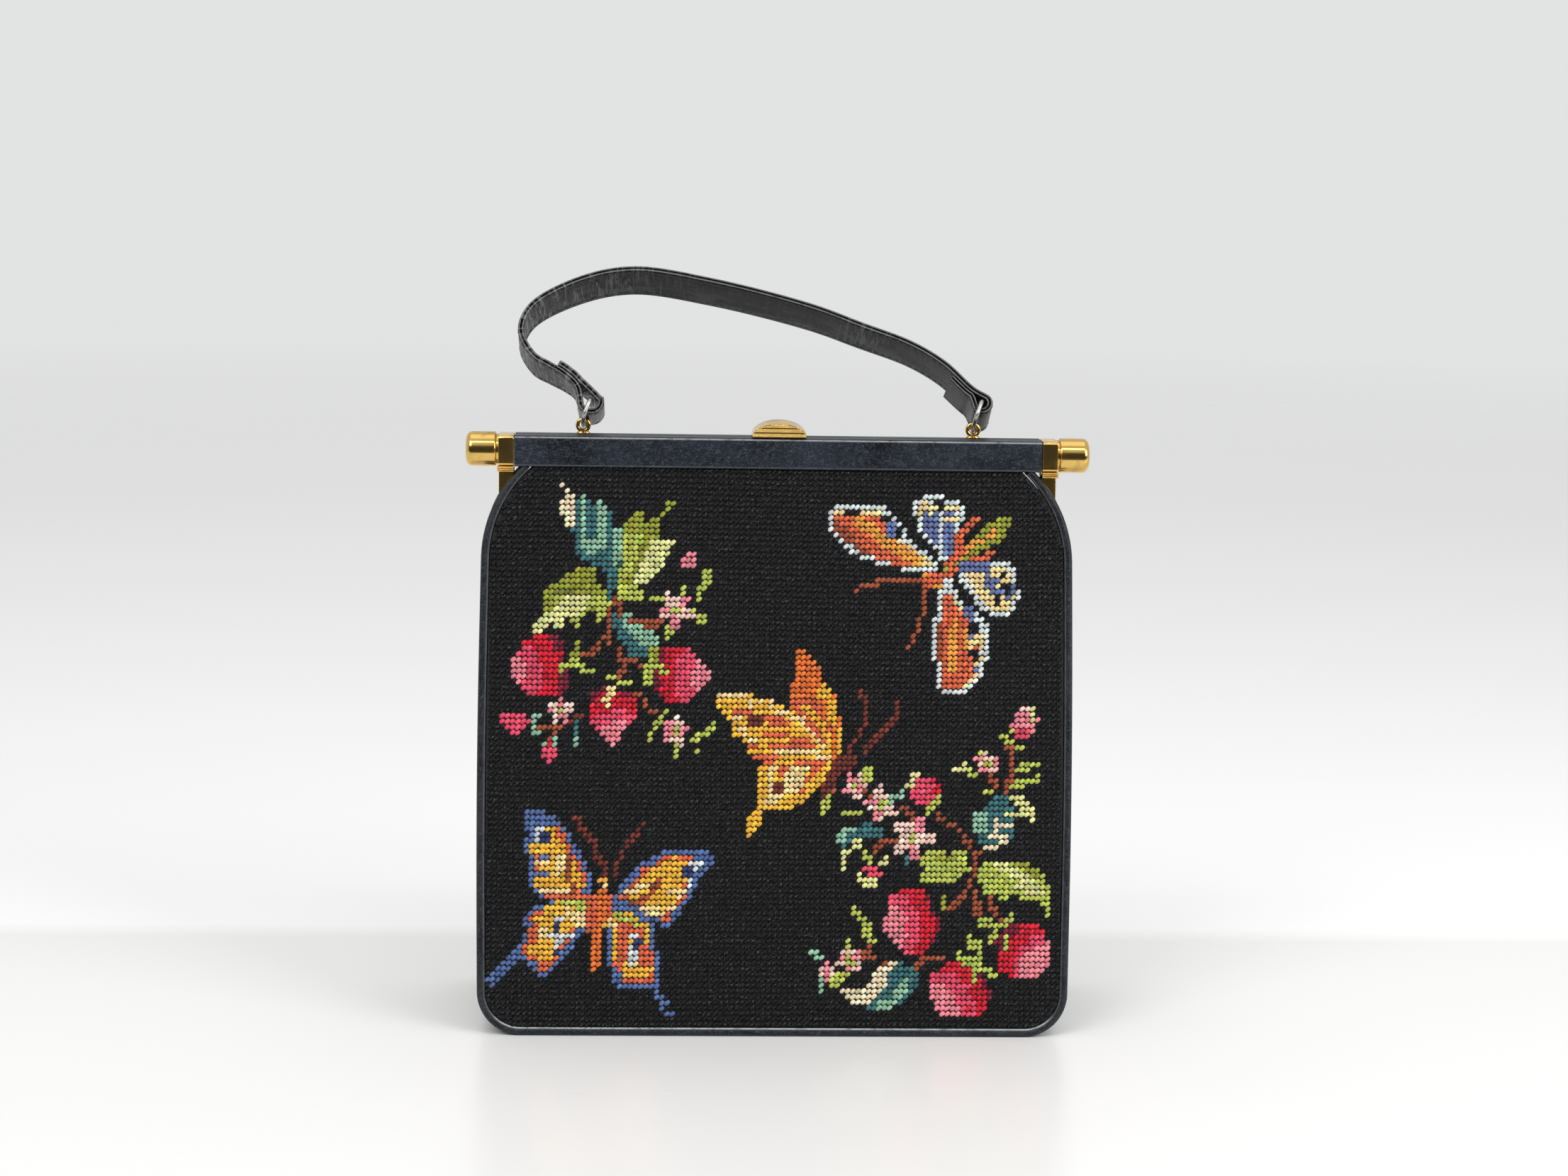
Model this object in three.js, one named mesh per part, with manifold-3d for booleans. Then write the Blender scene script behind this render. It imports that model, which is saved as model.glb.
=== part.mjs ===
// Needlepoint handbag with a leather-covered metal frame, brass end fittings and a leaning handle.
// Millimetres, +Z up, the front faces -Y. The origin is on the floor, in the middle of the base.

import * as THREE from 'three';
import { mergeVertices } from 'three/addons/utils/BufferGeometryUtils.js';
import Module from 'manifold-3d';

const wasm = await Module();
wasm.setup();

const degree = Math.PI / 180;
const gap = 0.3; // between pieces that touch on the real bag
const overlap = 1; // by which shapes that are joined or cut reach into or past each other

// Body: two panels that lean together, piped round the edge, with one long gusset between them
const bodyWidth = 243; // over the pipings
const baseDepth = 84; // over the pipings, at the floor
const bottomCorner = 18; // outer radius
const topCorner = 54; // outer radius of the shoulders
const shoulderHeight = 41.93; // how much of the panel's height the shoulders take up, at its top
const sideSwell = 0.8; // the sides bow out by this much at half height
const panelThick = 2.2;
const panelCrown = 2.6; // the panels belly out by this much
const bellyRoundness = 2.4;
const pipingRadius = 1.7;
const gussetThick = 1.6;
const gussetDrop = 20.5; // the gusset ends this far below the panel's top, well above the hinges
const gussetFold = 22; // how deep the gusset tucks in between the frame arms
const foldRoundness = 2.8;
const foldStart = 55; // up the panel to where the tuck begins
const foldFull = 172; // up the panel to where the tuck is deepest

// Frame: two leather-covered bars that close face to face
const barBottom = 230.2;
const barHeight = 12.8;
const barDepth = 6.75; // of each bar
const barSplit = 0.5; // between the two bars
const barEdge = 1.5; // rounding of the outer long edges
const barInnerWall = 1.9; // between the panel groove and the split
const grooveWidth = 3.8;
const grooveDepth = 3.8;

// Brass end fittings, one on each end of each bar
const frameInset = 6.8; // the end plates stand this far inside the body's sides
const plateWidth = 6.3;
const mouldingHeight = 2.2;
const mouldingProud = 0.4;
const armThick = 2.7;
const hingeHeight = 182;
const lugRadius = 4.5;
const rivetRadius = 1.5;
const rivetHead = { radius: 2.6, thick: 0.9 };
const barrelRadius = 7.1;
const barrelLength = 13.3;
const barrelDome = 4;
const collarRadius = 6.3;
const collarLength = 1.1;

// Handle: eyelets on the back bar, wire links, and a strap that loops round the links
const eyeletInset = 28.05; // the eyelets stand this far inside the end plates
const eyeletRing = 2.5; // to the middle of its wire
const eyeletWire = 0.7; // radius
const eyeletFoot = { width: 5.6, depth: 3.2, height: 0.9, neck: 0.5, rim: 0.3 }; // neck and rim are shares
const linkWire = 0.9; // radius
const linkReach = 9.6; // from the middle of the eyelet to the strap bar
const linkHalf = 11.2; // half its width
const linkTilt = 20 * degree; // to the right
const strapWidth = 19;
const strapThick = 2.4;
const strapEdge = 0.5; // rounding of its long edges
const loopRadius = 3.6; // to the middle of the strap
const loopDrop = 1; // the loops hang this much below the link bars
const loopSlide = 0.5; // and this much towards the middle
const tailLength = 17;
const tailClose = 7; // length over which a tail closes on to the strap
const handleBend = 26.15; // the left bend reaches this far outside its eyelet
const handleRise = 57.5; // above the eyelets
const handleBack = 30; // behind the eyelets, at the top

// Clasp on the middle of the bars
const claspWidth = 22.3;
const claspHeight = 5.6;
const claspDepth = 10;
const claspLip = 0.2; // the tab stands this far in front of the bar
const claspSwell = 0.2; // share by which the tab is taller at its back
const claspPinRadius = 0.7;
const claspPinBack = 2.4; // behind the tab
const claspPinClearance = 0.25;
const claspTabFoot = 0.6; // the tab's straight ends are this tall
const claspKnuckle = { radius: 1.3, width: 13 };
const claspEar = { thick: 1.4, radius: 1.3 };
const claspPlate = { thick: 0.7, depth: 3.7 };
const claspStud = { width: 4.4, depth: 2, height: 2.3, inset: 2.4 };
const claspPocket = { width: 7.2, depth: 4.8, height: 3, inset: 1.2 };

// Worked out from the sizes above
const barTop = barBottom + barHeight;
const barMiddle = barBottom + barHeight / 2;
const barFront = barSplit / 2 + barDepth;
const plateOuter = bodyWidth / 2 - frameInset;
const plateInner = plateOuter - plateWidth;
const barLength = 2 * (plateInner - gap);
const seatY = barSplit / 2 + barInnerWall + grooveWidth / 2;
const baseY = baseDepth / 2 - pipingRadius;
const panelTop = barBottom + grooveDepth - gap;
const lean = Math.atan((baseY - seatY) / (barBottom + grooveDepth / 2));
const panelRise = panelTop / Math.cos(lean);
const panelInset = 2 * pipingRadius + gap;
const shoulderStart = panelRise - shoulderHeight;
const gussetTop = panelRise - gussetDrop;
const eyeletSpan = 2 * (plateInner - eyeletInset);
const eyeletY = barSplit / 2 + barDepth / 2;
const eyeletHeight = barTop + gap + eyeletRing + eyeletWire;

const finishes = {
  needlepoint: { color: 0x17181c, roughness: 0.9, metalness: 0 },
  leather: { color: 0x14161b, roughness: 0.42, metalness: 0 },
  patentLeather: { color: 0x0e0f11, roughness: 0.25, metalness: 0 },
  brass: { color: 0xb08d3f, roughness: 0.2, metalness: 1 },
  steel: { color: 0x8e8f8a, roughness: 0.3, metalness: 1 },
};

// Geometry helpers

// Turns any closed geometry into one with shared vertices, no empty triangles and faces pointing out.
function clean(geometry) {
  geometry.deleteAttribute('normal');
  geometry.deleteAttribute('uv');
  const merged = mergeVertices(geometry, 1e-4);
  const corner = merged.index.array;
  const point = merged.attributes.position;
  const kept = [];
  const [a, b, c] = [new THREE.Vector3(), new THREE.Vector3(), new THREE.Vector3()];
  let volume = 0;
  for (let i = 0; i < corner.length; i += 3) {
    const [p, q, r] = [corner[i], corner[i + 1], corner[i + 2]];
    if (p === q || q === r || r === p) continue;
    kept.push(p, q, r);
    a.fromBufferAttribute(point, p);
    b.fromBufferAttribute(point, q);
    c.fromBufferAttribute(point, r);
    volume += a.dot(b.cross(c));
  }
  if (volume < 0) kept.reverse();
  merged.setIndex(kept);
  merged.computeVertexNormals();
  return merged;
}

// Skin over rows of points. A row runs round the piece's section; its first and last halves face
// each other, so an end is closed by rungs between them.
function skin(rows) {
  const count = rows[0].length;
  const faces = [];
  const quad = (a, b, c, d) => faces.push(a, b, c, a, c, d);
  for (let i = 0; i < rows.length - 1; i += 1) {
    const here = i * count;
    const next = here + count;
    for (let j = 0; j < count; j += 1) {
      const k = (j + 1) % count;
      quad(here + j, next + j, next + k, here + k);
    }
  }
  const last = (rows.length - 1) * count;
  for (let j = 0; j < count / 2 - 1; j += 1) {
    const far = count - 1 - j;
    quad(j, j + 1, far - 1, far);
    quad(last + far, last + far - 1, last + j + 1, last + j);
  }
  const geometry = new THREE.BufferGeometry();
  geometry.setAttribute('position', new THREE.Float32BufferAttribute(rows.flat(2), 3));
  geometry.setIndex(faces);
  return clean(geometry);
}

const toSolid = (geometry) => {
  const closed = clean(geometry);
  return new wasm.Manifold(
    new wasm.Mesh({
      numProp: 3,
      vertProperties: new Float32Array(closed.attributes.position.array),
      triVerts: new Uint32Array(closed.index.array),
    }),
  );
};

const fromSolid = (solid) => {
  const mesh = solid.getMesh();
  const geometry = new THREE.BufferGeometry();
  geometry.setAttribute('position', new THREE.Float32BufferAttribute(mesh.vertProperties, 3));
  geometry.setIndex(Array.from(mesh.triVerts));
  return clean(geometry);
};

function box(x0, x1, y0, y1, z0, z1) {
  const geometry = new THREE.BoxGeometry(x1 - x0, y1 - y0, z1 - z0);
  return geometry.translate((x0 + x1) / 2, (y0 + y1) / 2, (z0 + z1) / 2);
}

// A shape drawn as (y, z) and pushed along X.
function alongX(shape, x0, x1) {
  const settings = { depth: x1 - x0, bevelEnabled: false, curveSegments: 5 };
  const geometry = new THREE.ExtrudeGeometry(shape, settings);
  geometry.rotateX(Math.PI / 2).rotateZ(Math.PI / 2);
  return geometry.translate(x0, 0, 0);
}

function rodX(radius, x0, x1, y, z, sides = 14) {
  const geometry = new THREE.CylinderGeometry(radius, radius, x1 - x0, sides);
  return geometry.rotateZ(Math.PI / 2).translate((x0 + x1) / 2, y, z);
}

function mirrored(geometry, x, y) {
  return clean(geometry.clone().scale(x, y, 1));
}

const smooth = (share) => THREE.MathUtils.smoothstep(share, 0, 1);

// Body

// The edge of a panel, from the left shoulder round the foot to the right shoulder, as (x, height up
// the panel). It lies inset inside the outer edge and ends at the height top.
function outline(inset, top) {
  const steps = { foot: 3, corner: 5, side: 9, shoulder: 5 };
  const right = [];
  const footX = bodyWidth / 2 - bottomCorner;
  const footRadius = bottomCorner - inset;
  const headRadius = topCorner - inset;
  for (let i = 0; i < steps.foot; i += 1) right.push([(footX * i) / steps.foot, inset]);
  for (let i = 0; i <= steps.corner; i += 1) {
    const turn = ((i / steps.corner) * Math.PI) / 2;
    right.push([footX + footRadius * Math.sin(turn), bottomCorner - footRadius * Math.cos(turn)]);
  }
  const sideTop = Math.min(top, shoulderStart);
  for (let i = 1; i <= steps.side; i += 1) {
    const height = bottomCorner + ((sideTop - bottomCorner) * i) / steps.side;
    const share = (height - bottomCorner) / (shoulderStart - bottomCorner);
    right.push([bodyWidth / 2 - inset + sideSwell * Math.sin(Math.PI * share), height]);
  }
  if (top > shoulderStart) {
    const reach = Math.asin((top - shoulderStart) / headRadius);
    for (let i = 1; i <= steps.shoulder; i += 1) {
      const turn = (reach * i) / steps.shoulder;
      const across = bodyWidth / 2 - topCorner + headRadius * Math.cos(turn);
      right.push([across, shoulderStart + headRadius * Math.sin(turn)]);
    }
  }
  const left = right.slice(1).reverse();
  return [...left.map(([x, height]) => [-x, height]), ...right];
}

// A panel: one wall with rings of points from its middle out to its edge and back, bellied forward.
function panelGeometry() {
  const rings = [0.2, 0.45, 0.7, 0.88, 1];
  const topSteps = 4;
  const middle = panelRise / 2;
  const edge = outline(panelInset, panelRise);
  const cornerX = edge[edge.length - 1][0];
  for (let i = 1; i < topSteps; i += 1) edge.push([cornerX * (1 - (2 * i) / topSteps), panelRise]);
  if (edge.length % 2) edge.push([-cornerX * (1 - 1 / topSteps), panelRise]);
  const ring = (share, face) =>
    edge.map(([x, height]) => {
      const belly = panelCrown * (1 - share ** bellyRoundness);
      return [x * share, (face * panelThick) / 2 - belly, middle + (height - middle) * share];
    });
  const front = rings.map((share) => ring(share, -1));
  const back = rings.map((share) => ring(share, 1)).reverse();
  return skin([...front, ...back]);
}

// A roll of leather round the panel's edge, mitred at each turn of the outline.
function pipingGeometry() {
  const sides = 8;
  const top = (barBottom - gap) / Math.cos(lean);
  const path = outline(pipingRadius, top).map(([x, height]) => new THREE.Vector2(x, height));
  const rows = path.map((point, i) => {
    const before = point.clone().sub(path[Math.max(i - 1, 0)]);
    const after = path[Math.min(i + 1, path.length - 1)].clone().sub(point);
    const along = before.normalize().add(after.normalize()).normalize();
    return Array.from({ length: sides }, (_, j) => {
      const turn = ((j + 0.5) / sides) * 2 * Math.PI;
      const out = pipingRadius * Math.cos(turn);
      return [point.x + along.y * out, pipingRadius * Math.sin(turn), point.y - along.x * out];
    });
  });
  return skin(rows);
}

// The gusset: a strip round the sides and the base, tucked inwards between the frame arms.
function gussetGeometry() {
  const acrossSteps = 10;
  const edge = outline(0, gussetTop);
  const rows = edge.map(([x, height], i) => {
    const [ax, ah] = edge[Math.max(i - 1, 0)];
    const [bx, bh] = edge[Math.min(i + 1, edge.length - 1)];
    const run = Math.hypot(bx - ax, bh - ah);
    const inward = [-(bh - ah) / run, (bx - ax) / run];
    const half = baseY - height * Math.sin(lean) - (pipingRadius + gap) / Math.cos(lean);
    const fold = gussetFold * smooth((height - foldStart) / (foldFull - foldStart));
    const wall = (share, depth) => {
      const slope = (fold * foldRoundness * Math.abs(share) ** (foldRoundness - 1)) / half;
      const tuck = fold * (1 - Math.abs(share) ** foldRoundness) + depth * Math.hypot(1, slope);
      return [x + inward[0] * tuck, share * half, height * Math.cos(lean) + inward[1] * tuck];
    };
    const shares = Array.from({ length: acrossSteps + 1 }, (_, j) => (2 * j) / acrossSteps - 1);
    const outside = shares.map((share) => wall(share, 0));
    const inside = shares.map((share) => wall(share, gussetThick)).reverse();
    return [...outside, ...inside];
  });
  return skin(rows);
}

// Frame

// Section of the front bar as (y, z): square at the split, rounded in front.
function barProfile(height0, proud = 0) {
  const front = -barFront - proud;
  const shape = new THREE.Shape();
  shape.moveTo(-barSplit / 2, height0);
  shape.lineTo(-barSplit / 2, barTop);
  shape.lineTo(front + barEdge, barTop);
  shape.absarc(front + barEdge, barTop - barEdge, barEdge, Math.PI / 2, Math.PI, false);
  shape.absarc(front + barEdge, height0 + barEdge, barEdge, Math.PI, 1.5 * Math.PI, false);
  shape.closePath();
  return shape;
}

function barGeometry() {
  const bar = toSolid(alongX(barProfile(barBottom), -barLength / 2, barLength / 2));
  const slotFront = -seatY - grooveWidth / 2;
  const slot = box(-barLength, barLength, slotFront, -seatY + grooveWidth / 2, 0, barBottom + grooveDepth);
  return fromSolid(bar.subtract(toSolid(slot)));
}

// The right-hand fitting of the front bar: plate, moulding, arm, hinge lug and half barrel in one.
function fittingGeometry(outerLug) {
  const inner = -barSplit / 2;
  const arm = inner - armThick;
  const lugTop = hingeHeight + lugRadius + gap;
  const mouldingBottom = barBottom - mouldingHeight;
  const step = mouldingHeight / 3;
  const middle = plateInner + plateWidth / 2;
  const [lug0, lug1] = outerLug ? [middle + gap / 2, plateOuter] : [plateInner, middle - gap / 2];
  const front = -barFront;
  const band = (bottom, top, proud) =>
    box(plateInner, plateOuter + proud, front - proud, inner, bottom, top);
  const parts = [
    alongX(barProfile(barBottom), plateInner, plateOuter),
    band(mouldingBottom, barBottom + barEdge, 0),
    band(barBottom - step, barBottom, mouldingProud),
    band(mouldingBottom, barBottom - 2 * step, mouldingProud),
    box(plateInner, plateOuter, arm, inner, lugTop, barBottom),
    box(lug0, lug1, arm, inner, hingeHeight, lugTop + overlap),
    rodX(lugRadius, lug0, lug1, 0, hingeHeight, 20),
  ];
  const hole = rodX(rivetRadius + gap, plateInner - overlap, plateOuter + overlap, 0, hingeHeight);
  const blank = parts.map(toSolid).reduce((sum, part) => sum.add(part));
  return fromSolid(blank.subtract(toSolid(hole)).add(halfBarrel()));
}

// Front half of a round cap with a collar next to the plate and a domed outer end.
function halfBarrel() {
  const domeSteps = 4;
  const profile = [new THREE.Vector2(0, -overlap), new THREE.Vector2(collarRadius, -overlap)];
  profile.push(new THREE.Vector2(collarRadius, collarLength));
  profile.push(new THREE.Vector2(barrelRadius, collarLength + gap));
  for (let i = 0; i <= domeSteps; i += 1) {
    const turn = ((i / domeSteps) * Math.PI) / 2;
    const flat = barrelRadius - barrelDome;
    const radius = i === domeSteps ? flat : flat + barrelDome * Math.cos(turn);
    profile.push(new THREE.Vector2(radius, barrelLength - barrelDome * (1 - Math.sin(turn))));
  }
  profile.push(new THREE.Vector2(0, barrelLength));
  const barrel = new THREE.LatheGeometry(profile, 24).rotateZ(-Math.PI / 2);
  barrel.translate(plateOuter, 0, barMiddle);
  const reach = plateOuter + 2 * barrelLength;
  const behind = box(0, reach, -barSplit / 2, 3 * barrelRadius, 0, 2 * barTop);
  return toSolid(barrel).subtract(toSolid(behind));
}

function rivetGeometry() {
  const { radius, thick } = rivetHead;
  const [left, right] = [plateInner - gap, plateOuter + gap];
  const shank = rodX(rivetRadius, left - thick / 2, right + thick / 2, 0, hingeHeight);
  const outer = rodX(radius, right, right + thick, 0, hingeHeight);
  const inner = rodX(radius, left - thick, left, 0, hingeHeight);
  return fromSolid([shank, outer, inner].map(toSolid).reduce((sum, part) => sum.add(part)));
}

// Handle

function eyeletGeometry() {
  const ring = new THREE.TorusGeometry(eyeletRing, eyeletWire, 8, 16).rotateX(Math.PI / 2);
  const foot = [
    new THREE.Vector2(0, 0),
    new THREE.Vector2(1, 0),
    new THREE.Vector2(1, eyeletFoot.rim),
    new THREE.Vector2(eyeletFoot.neck, 1),
    new THREE.Vector2(0, 1),
  ];
  const base = new THREE.LatheGeometry(foot, 16).rotateX(Math.PI / 2);
  base.scale(eyeletFoot.width / 2, eyeletFoot.depth / 2, eyeletFoot.height);
  base.translate(0, 0, -eyeletRing - eyeletWire);
  return fromSolid(toSolid(ring).add(toSolid(base)));
}

// The two ends of the handle. A strap end leaves its link at the angle out, measured in the plane
// square to the strap's width, and its outer side is on the left or right of that.
const ends = {
  left: { side: -1, out: 114 * degree, lean: 21 * degree },
  right: { side: 1, out: 133 * degree, lean: 32 * degree },
};

// Maps (across, along the strap's width, up) at one end of the handle to the bag's frame.
function endPoint(end, across, width, up) {
  const back = width * Math.cos(end.lean) + up * Math.sin(end.lean);
  const rise = up * Math.cos(end.lean) - width * Math.sin(end.lean);
  return new THREE.Vector3((end.side * eyeletSpan) / 2 + across, eyeletY + back, eyeletHeight + rise);
}

// A wire link with straight sides and round corners, through the eyelet and the strap's loop.
function linkGeometry(end) {
  const stations = 32;
  const sides = 6;
  const squareness = 4;
  const points = Array.from({ length: stations }, (_, i) => {
    const turn = (i / stations) * 2 * Math.PI;
    const width = linkHalf * Math.sign(Math.cos(turn)) * Math.abs(Math.cos(turn)) ** (2 / squareness);
    const up = Math.sign(Math.sin(turn)) * Math.abs(Math.sin(turn)) ** (2 / squareness);
    const reach = (linkReach * (1 + up)) / 2;
    return endPoint(end, reach * Math.sin(linkTilt), width, reach * Math.cos(linkTilt));
  });
  const curve = new THREE.CatmullRomCurve3(points, true, 'centripetal');
  return clean(new THREE.TubeGeometry(curve, stations + 4, linkWire, sides, true));
}

// Middle of the strap between its loops. span is a share of half the eyelets' span, bend of the left
// bend's reach outside its eyelet, rise and back of the handle's rise and set-back, and lean says how
// far the strap's width is turned down at the back, in degrees.
const strapRoute = [
  { span: -1, bend: -0.202, rise: 0.32, back: 0.227, lean: 21 },
  { span: -1, bend: -0.776, rise: 0.43, back: 0.383, lean: 27 },
  { span: -1, bend: -1.0, rise: 0.581, back: 0.568, lean: 30 },
  { span: -1, bend: -0.845, rise: 0.743, back: 0.75, lean: 33.5 },
  { span: -1, bend: -0.088, rise: 0.925, back: 0.94, lean: 36 },
  { span: -0.754, bend: 0, rise: 1, back: 1.018, lean: 36.5 },
  { span: -0.358, bend: 0, rise: 0.93, back: 0.935, lean: 36 },
  { span: 0.166, bend: 0, rise: 0.762, back: 0.752, lean: 35 },
  { span: 0.424, bend: 0, rise: 0.64, back: 0.64, lean: 34 },
  { span: 0.681, bend: 0, rise: 0.515, back: 0.53, lean: 33.5 },
  { span: 0.848, bend: 0, rise: 0.385, back: 0.41, lean: 33 },
  { span: 0.995, bend: 0, rise: 0.209, back: 0.25, lean: 32 },
];

// Loop round a link and the tail sewn back on the inner side, from the strap's end to the tail's tip,
// as (across, up) in the end's plane.
function endLoop(end) {
  const loopSteps = 7;
  const centreX = linkReach * Math.sin(linkTilt) - end.side * loopSlide;
  const centreUp = linkReach * Math.cos(linkTilt) - loopDrop;
  const outward = end.out - (end.side * Math.PI) / 2;
  return Array.from({ length: loopSteps + 1 }, (_, i) => {
    const turn = outward - end.side * (i / loopSteps) * Math.PI;
    return [centreX + loopRadius * Math.cos(turn), centreUp + loopRadius * Math.sin(turn)];
  });
}

function strapGeometry() {
  const mainSteps = 44;
  const tailSteps = 6;
  const loops = { left: endLoop(ends.left), right: endLoop(ends.right) };
  const startOf = (name) => endPoint(ends[name], loops[name][0][0], 0, loops[name][0][1]);
  const middle = strapRoute.map(({ span, bend, rise, back }) => {
    const across = (span * eyeletSpan) / 2 + bend * handleBend;
    return new THREE.Vector3(across, eyeletY + back * handleBack, eyeletHeight + rise * handleRise);
  });
  const points = [startOf('left'), ...middle, startOf('right')];
  const route = new THREE.CatmullRomCurve3(points, false, 'centripetal');
  const leans = [ends.left.lean / degree, ...strapRoute.map((row) => row.lean), ends.right.lean / degree];
  const length = route.getLength();

  // A place on the strap: its middle, the direction of its width, and the way to its inner side.
  const place = (share) => {
    const at = route.getUtoTmapping(share) * (leans.length - 1);
    const low = Math.min(Math.floor(at), leans.length - 2);
    const turn = THREE.MathUtils.lerp(leans[low], leans[low + 1], at - low) * degree;
    const along = route.getTangentAt(share);
    const width = new THREE.Vector3(0, Math.cos(turn), -Math.sin(turn));
    width.addScaledVector(along, -width.dot(along)).normalize();
    return { middle: route.getPointAt(share), width, inner: width.clone().cross(along).normalize() };
  };

  const stations = [];
  const addEnd = (name, fromTip) => {
    const end = ends[name];
    const width = endPoint(end, 0, 1, 0).sub(endPoint(end, 0, 0, 0));
    const bend = loops[name].slice(1);
    const loop = bend.map(([across, up]) => ({ middle: endPoint(end, across, 0, up), width }));
    const tail = Array.from({ length: tailSteps }, (_, i) => {
      const run = (tailLength * (i + 1)) / tailSteps;
      const there = place(end.side < 0 ? run / length : 1 - run / length);
      const spacing = THREE.MathUtils.lerp(2 * loopRadius, strapThick + gap, smooth(run / tailClose));
      return { middle: there.middle.addScaledVector(there.inner, spacing), width: there.width };
    });
    const all = [...loop, ...tail];
    stations.push(...(fromTip ? all.reverse() : all));
  };
  addEnd('left', true);
  for (let i = 0; i <= mainSteps; i += 1) stations.push(place(i / mainSteps));
  addEnd('right', false);

  const [halfThick, halfWidth] = [strapThick / 2, strapWidth / 2];
  const section = [
    [-halfThick, -halfWidth + strapEdge],
    [-halfThick, halfWidth - strapEdge],
    [-halfThick + strapEdge, halfWidth],
    [halfThick - strapEdge, halfWidth],
    [halfThick, halfWidth - strapEdge],
    [halfThick, -halfWidth + strapEdge],
    [halfThick - strapEdge, -halfWidth],
    [-halfThick + strapEdge, -halfWidth],
  ];
  const rows = stations.map((station, i) => {
    const before = stations[Math.max(i - 1, 0)].middle;
    const after = stations[Math.min(i + 1, stations.length - 1)].middle;
    const side = after.clone().sub(before).cross(station.width).normalize();
    return section.map(([thick, width]) => {
      const point = station.middle.clone().addScaledVector(side, thick);
      return point.addScaledVector(station.width, width).toArray();
    });
  });
  return skin(rows);
}

// Clasp

const tabBottom = barTop + gap;
const tabFront = -barFront - claspLip;
const tabBack = tabFront + claspDepth;
const pinY = tabBack + claspPinBack;
const pinHeight = tabBottom + claspPlate.thick + gap + claspKnuckle.radius;
const earInner = claspKnuckle.width / 2 + gap;

// The lifting tab: low and oval from the front, a little taller at the back, with a pocket for the stud.
function tabGeometry() {
  const arc = new THREE.Shape();
  const half = claspWidth / 2;
  arc.moveTo(-half, 0);
  arc.lineTo(half, 0);
  arc.absellipse(0, claspTabFoot, half, claspHeight - claspTabFoot, 0, Math.PI, false, 0);
  arc.closePath();
  const body = new THREE.ExtrudeGeometry(arc, { depth: claspDepth, bevelEnabled: false, curveSegments: 12 });
  const point = body.attributes.position;
  for (let i = 0; i < point.count; i += 1) {
    const share = 1 + (claspSwell * (claspDepth - point.getZ(i))) / claspDepth;
    point.setY(i, point.getY(i) * share);
  }
  body.rotateX(Math.PI / 2).translate(0, tabBack, tabBottom);
  const [reach, radius] = [claspKnuckle.width / 2, claspKnuckle.radius];
  const arm = box(-reach, reach, tabBack - overlap, pinY, pinHeight, pinHeight + radius);
  const knuckle = rodX(radius, -reach, reach, pinY, pinHeight);
  const bore = rodX(claspPinRadius + claspPinClearance, -claspWidth, claspWidth, pinY, pinHeight);
  const { width, depth, height, inset } = claspPocket;
  const pocketFront = tabFront + inset;
  const pocket = box(-width / 2, width / 2, pocketFront, pocketFront + depth, 0, tabBottom + height);
  const solid = [body, arm, knuckle].map(toSolid).reduce((sum, part) => sum.add(part));
  return fromSolid(solid.subtract(toSolid(bore)).subtract(toSolid(pocket)));
}

function claspBaseGeometry() {
  const half = earInner + claspEar.thick;
  const plateFront = tabBack + gap;
  const { thick, depth } = claspPlate;
  const plate = box(-half, half, plateFront, plateFront + depth, tabBottom, tabBottom + thick);
  const ears = [-1, 1].flatMap((side) => {
    const [x0, x1] = side < 0 ? [-half, -earInner] : [earInner, half];
    const foot = box(x0, x1, pinY - claspEar.radius, pinY + claspEar.radius, tabBottom, pinHeight);
    return [foot, rodX(claspEar.radius, x0, x1, pinY, pinHeight)];
  });
  const bore = rodX(claspPinRadius + claspPinClearance, -half - overlap, half + overlap, pinY, pinHeight);
  const solid = [plate, ...ears].map(toSolid).reduce((sum, part) => sum.add(part));
  return fromSolid(solid.subtract(toSolid(bore)));
}

function claspPinGeometry() {
  const reach = earInner + claspEar.thick + gap;
  return clean(rodX(claspPinRadius, -reach, reach, pinY, pinHeight));
}

function claspCatchGeometry() {
  const { width, depth, height, inset } = claspStud;
  const front = tabFront + inset;
  return clean(box(-width / 2, width / 2, front, front + depth, tabBottom, tabBottom + height));
}

// Assembly

const bag = new THREE.Group();
bag.name = 'needlepoint_purse';

function add(name, geometry, finish, parent = bag) {
  const mesh = new THREE.Mesh(geometry, new THREE.MeshStandardMaterial(finishes[finish]));
  mesh.name = name;
  parent.add(mesh);
  return mesh;
}

// Each half is set in a group that leans back; the back half is the front half turned round.
const lift = pipingRadius * (1 - Math.cos(lean));
for (const [half, turn] of [['front', 0], ['back', Math.PI]]) {
  const turned = new THREE.Group();
  turned.rotation.z = turn;
  const leaning = new THREE.Group();
  leaning.position.set(0, -baseY, lift);
  leaning.rotation.x = -lean;
  turned.add(leaning);
  bag.add(turned);
  add(`needlepoint_${half}`, panelGeometry(), 'needlepoint', leaning);
  add(`piping_${half}`, pipingGeometry(), 'leather', leaning);
  add(`bar_${half}`, barGeometry(), 'leather', turned);
}
add('gusset', gussetGeometry(), 'leather');

for (const [half, y] of [['front', 1], ['back', -1]]) {
  const fitting = fittingGeometry(half === 'front');
  add(`brass_end_${half}_left`, mirrored(fitting, -1, y), 'brass');
  add(`brass_end_${half}_right`, mirrored(fitting, 1, y), 'brass');
}

for (const [name, end] of Object.entries(ends)) {
  add(`hinge_rivet_${name}`, mirrored(rivetGeometry(), end.side, 1), 'brass');
  const eyelet = add(`eyelet_${name}`, eyeletGeometry(), 'brass');
  eyelet.position.copy(endPoint(end, 0, 0, 0));
  add(`link_${name}`, linkGeometry(end), 'steel');
}
add('handle_strap', strapGeometry(), 'patentLeather');

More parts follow.
